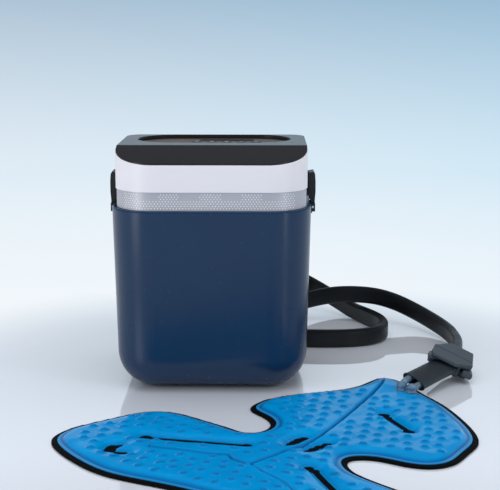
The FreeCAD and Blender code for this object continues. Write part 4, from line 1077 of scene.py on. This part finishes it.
def make_vent_screen():
    """The bright inner screen, shown as a small dished plug in each air hole of the band."""
    bpy.ops.object.select_all(action="DESELECT")
    bpy.ops.mesh.primitive_cylinder_add(vertices=8, radius=(VENT_HOLE / 2 - 0.02) * MM,
                                        depth=1.2 * MM, location=(0, 0.64 * MM, 0),
                                        rotation=(math.radians(90), 0, 0))
    piece = begin("vent_screen")
    pick(piece, "FACE", lambda m: m.y < 0.2 * MM)
    bpy.ops.mesh.inset(thickness=0.2 * MM)
    bpy.ops.transform.translate(value=(0, 0.12 * MM, 0))
    bpy.ops.object.mode_set(mode="OBJECT")
    places = []
    for row in range(VENT_ROWS):
        shift = VENT_PITCH / 2 * (row % 2)
        for number in range(int(2 * VENT_REACH / VENT_PITCH)):
            along = -VENT_REACH + shift + number * VENT_PITCH
            if row < VENT_FULL_ROWS or math.cos(2 * math.pi * along / VENT_WAVE) > 0:
                places.append(band_place(along, VENT_FIRST + row * VENT_ROW_PITCH))
    screen = copies(piece, places, "vent_screen")
    finish_piece(screen, screen_white, "head")


KEY_TOP = 308.3
KEY_Y = 52.0
KEY_XS = {"power_key": -24.0, "mode_key": -4.0, "timer_key": 16.0, "minus_key": 36.0,
          "plus_key": 56.0}
MARK = 0.12
MARK_WIDTH = 0.6
MARK_BEVEL = 0.05
# Generic signs on the keys: the radius of a ring, and bars as (x, y, length, degrees).
KEY_RINGS = {"power_key": 2.3, "timer_key": 2.5}
KEY_BARS = {
    "power_key": [(0, 1.9, 2.2, 90)],
    "mode_key": [(0, 0, 5.4, 0), (0, 0, 5.4, 60), (0, 0, 5.4, 120)],
    "timer_key": [(0, 0.8, 1.8, 90), (0.6, 0, 1.5, 0)],
    "minus_key": [(0, 0, 4.6, 0)],
    "plus_key": [(0, 0, 4.6, 0), (0, 0, 4.6, 90)],
}


def make_key_marks():
    """A raised white sign on top of each key."""
    for key, x in KEY_XS.items():
        parts = []
        for bar_x, bar_y, length, turn in KEY_BARS[key]:
            bpy.ops.object.select_all(action="DESELECT")
            bpy.ops.mesh.primitive_cube_add(
                size=1, location=((x + bar_x) * MM, (KEY_Y + bar_y) * MM, KEY_TOP * MM),
                rotation=(0, 0, math.radians(turn)),
                scale=(length * MM, MARK_WIDTH * MM, 2 * MARK * MM))
            part = begin(key + "_mark")
            pick(part, "EDGE", lambda m: m.z > (KEY_TOP + MARK / 2) * MM)
            bpy.ops.mesh.bevel(offset=MARK_BEVEL * MM, segments=1)
            bpy.ops.object.mode_set(mode="OBJECT")
            parts.append(part)
        if key in KEY_RINGS:
            bpy.ops.object.select_all(action="DESELECT")
            bpy.ops.mesh.primitive_circle_add(vertices=32, radius=KEY_RINGS[key] * MM,
                                              location=(x * MM, KEY_Y * MM, KEY_TOP * MM))
            part = begin(key + "_mark")
            bpy.ops.mesh.select_all(action="SELECT")
            bpy.ops.mesh.extrude_edges_move()
            shrink = 1 - MARK_WIDTH / KEY_RINGS[key]
            bpy.ops.transform.resize(value=(shrink, shrink, 1),
                                     center_override=(x * MM, KEY_Y * MM, KEY_TOP * MM))
            bpy.ops.object.mode_set(mode="OBJECT")
            wall = part.modifiers.new("wall", "SOLIDIFY")
            wall.thickness = 2 * MARK * MM
            wall.offset = 0
            bpy.ops.object.modifier_apply(modifier="wall")
            outward(part)
            parts.append(part)
        finish_piece(joined(parts, key + "_mark"), print_white, key)


make_sleeve()
make_wrap_tubes()
make_ports()
make_vent_screen()
make_key_marks()


# ---------------------------------------------------------------- floor, light and camera
STUDIO_RADIUS = 2.3
STUDIO_COVE = 0.6
STUDIO_HEIGHT = 2.6
STUDIO_SIDES = 96
COVE_STEPS = 10
# What the backdrop shows, at the left and the right: near the object, at the floor's end
# and up the wall. Above that come a band that the floor mirrors, and the ceiling.
BASE_GLOW = ("f6f9fc", "e8f3fb")
FLOOR_END_GLOW = ("e3edf6", "d0e8f6")
WALL_GLOW = ("b0c4d5", "96bbd5")
REFLECTED_GLOW = "cbd8e4"
HIGH_GLOW = "74777d"
TABLE_WHITE = "dae2ee"
WORLD_WHITE = "fbf8f6"
OBJECT_MIDDLE = (0.07, -0.12, 0.0)
# Name, place, target, width, height, watts, and whether glossy faces show the lamp.
LAMPS = [
    ("top_softbox", (0.1, -0.3, 1.7), (0.05, -0.1, 0.0), 1.4, 1.4, 14, False),
    ("left_softbox", (-1.3, -0.9, 0.9), (0.0, 0.0, 0.15), 0.5, 1.0, 4, False),
    ("right_softbox", (1.4, -0.9, 0.9), (0.0, 0.0, 0.15), 0.5, 1.0, 5, False),
    ("left_low_softbox", (-0.72, -0.6, 0.28), (-0.1, -0.1, 0.15), 0.3, 0.55, 1.5, True),
    ("right_low_strip", (0.7, -0.62, 0.28), (0.1, -0.1, 0.15), 0.08, 0.55, 0.6, True),
]
CAMERA_LENS = 85.68
CAMERA_PLACE = (0.0675, -1.5567, 0.4769)
CAMERA_TURN = (79.04, 0.0, 0.70)


def maths(tree, operation, first, second):
    """The result of a sum, a product or the like of two values."""
    return add(tree, "ShaderNodeMath", {0: first, 1: second}, operation=operation).outputs[0]


def mixed(tree, share, first, second):
    """A mix of two shaders."""
    return add(tree, "ShaderNodeMixShader", {0: share, 1: first, 2: second}).outputs[0]


def background_light(tree):
    """1 for what the camera sees, directly, in a reflection or through clear plastic."""
    paths = add(tree, "ShaderNodeLightPath", {}).outputs
    seen = maths(tree, "MAXIMUM", paths["Is Camera Ray"], paths["Is Glossy Ray"])
    return maths(tree, "MAXIMUM", seen, paths["Is Transmission Ray"])


def studio_glow(tree, parts, away):
    """The backdrop's colour: by height, by distance from the object, and from left to right."""
    right = spread(tree, parts["X"], 0.0, 1.0, -1.2, 1.2)
    outwards = spread(tree, away, 0.0, 1.0, 0.7, STUDIO_RADIUS)
    rise = spread(tree, parts["Z"], 0.0, 1.0, 0.0, 0.55)
    mirrored = spread(tree, parts["Z"], 0.0, 1.0, 0.56, 0.75)
    high = spread(tree, parts["Z"], 0.0, 1.0, 1.15, 1.5)
    base, floor_end, wall = [blend(tree, right, *pair)
                             for pair in (BASE_GLOW, FLOOR_END_GLOW, WALL_GLOW)]
    glow = blend(tree, outwards, base, floor_end)
    for share, tone in ((rise, wall), (mirrored, REFLECTED_GLOW), (high, HIGH_GLOW)):
        glow = blend(tree, share, glow, tone)
    return glow


def make_table_material():
    """Polished white table that fades into the backdrop's glow away from the object.

    Light from the world passes through the wall, so that only the eye meets it.
    """
    material, tree, shader, place = start("polished_white_table")
    fill(tree, shader, {
        "Base Color": srgb(TABLE_WHITE), "Roughness": 0.05, "Specular IOR Level": 1.0,
        "Coat Weight": 1.0, "Coat IOR": 1.65, "Coat Roughness": 0.02})
    parts = add(tree, "ShaderNodeSeparateXYZ", {"Vector": place}).outputs
    level = add(tree, "ShaderNodeCombineXYZ", {"X": parts["X"], "Y": parts["Y"]})
    offset = add(tree, "ShaderNodeVectorMath", {0: level.outputs[0], 1: OBJECT_MIDDLE},
                 operation="SUBTRACT")
    away = add(tree, "ShaderNodeVectorMath", {0: offset.outputs[0]},
               operation="LENGTH").outputs["Value"]
    backdrop = add(tree, "ShaderNodeEmission",
                   {"Color": studio_glow(tree, parts, away), "Strength": 1.0})
    open_air = add(tree, "ShaderNodeBsdfTransparent", {})
    seen = background_light(tree)
    far = spread(tree, away, 0.0, 1.0, 0.38, 0.68, interpolation_type="SMOOTHSTEP")
    share = maths(tree, "MULTIPLY", seen, far)
    above_floor = maths(tree, "GREATER_THAN", parts["Z"], 0.001)
    through = maths(tree, "MULTIPLY", above_floor, maths(tree, "SUBTRACT", 1.0, seen))
    lit = mixed(tree, share, shader.outputs["BSDF"], backdrop.outputs[0])
    output = next(n for n in tree.nodes if n.bl_idname == "ShaderNodeOutputMaterial")
    fill(tree, output, {"Surface": mixed(tree, through, lit, open_air.outputs[0])})
    return material


def make_studio():
    """A white table that runs up into a round backdrop."""
    turns = [math.radians(90 * step / COVE_STEPS) for step in range(COVE_STEPS + 1)]
    profile = [(STUDIO_RADIUS + STUDIO_COVE * math.sin(turn),
                STUDIO_COVE * (1 - math.cos(turn))) for turn in turns]
    profile.append((STUDIO_RADIUS + STUDIO_COVE, STUDIO_HEIGHT))
    studio = turned("studio", profile, STUDIO_SIDES)
    bpy.ops.object.mode_set(mode="OBJECT")
    bpy.ops.object.shade_smooth()
    studio.data.materials.append(make_table_material())


def make_world():
    """Even white light, and a dim colour for what looks past the top of the backdrop."""
    world = bpy.data.worlds.new("studio")
    scene.world = world
    world.use_nodes = True
    tree = world.node_tree
    tree.nodes.clear()
    light = add(tree, "ShaderNodeBackground", {"Color": srgb(WORLD_WHITE), "Strength": 0.55})
    seen = add(tree, "ShaderNodeBackground", {"Color": srgb(HIGH_GLOW), "Strength": 1.0})
    surface = mixed(tree, background_light(tree), light.outputs[0], seen.outputs[0])
    add(tree, "ShaderNodeOutputWorld", {"Surface": surface})


def make_lamp(name, place, target, width, height, power, mirrored):
    """A soft box at a place, turned towards a target."""
    light = bpy.data.lights.new(name, "AREA")
    light.shape = "RECTANGLE"
    light.size = width
    light.size_y = height
    light.energy = power
    holder = placed(name, light)
    holder.visible_camera = False
    holder.visible_glossy = mirrored
    holder.location = place
    away = Vector(place) - Vector(target)
    holder.rotation_euler = away.to_track_quat("Z", "Y").to_euler()


def make_camera():
    """The camera, a metre and a half in front of the machine and a little above it."""
    camera = bpy.data.cameras.new("camera")
    camera.lens = CAMERA_LENS
    camera.sensor_width = 36.0
    holder = placed("camera", camera)
    holder.location = CAMERA_PLACE
    holder.rotation_euler = [math.radians(turn) for turn in CAMERA_TURN]
    scene.camera = holder


make_studio()
make_world()
for lamp in LAMPS:
    make_lamp(*lamp)
make_camera()
scene.view_settings.view_transform = "Standard"
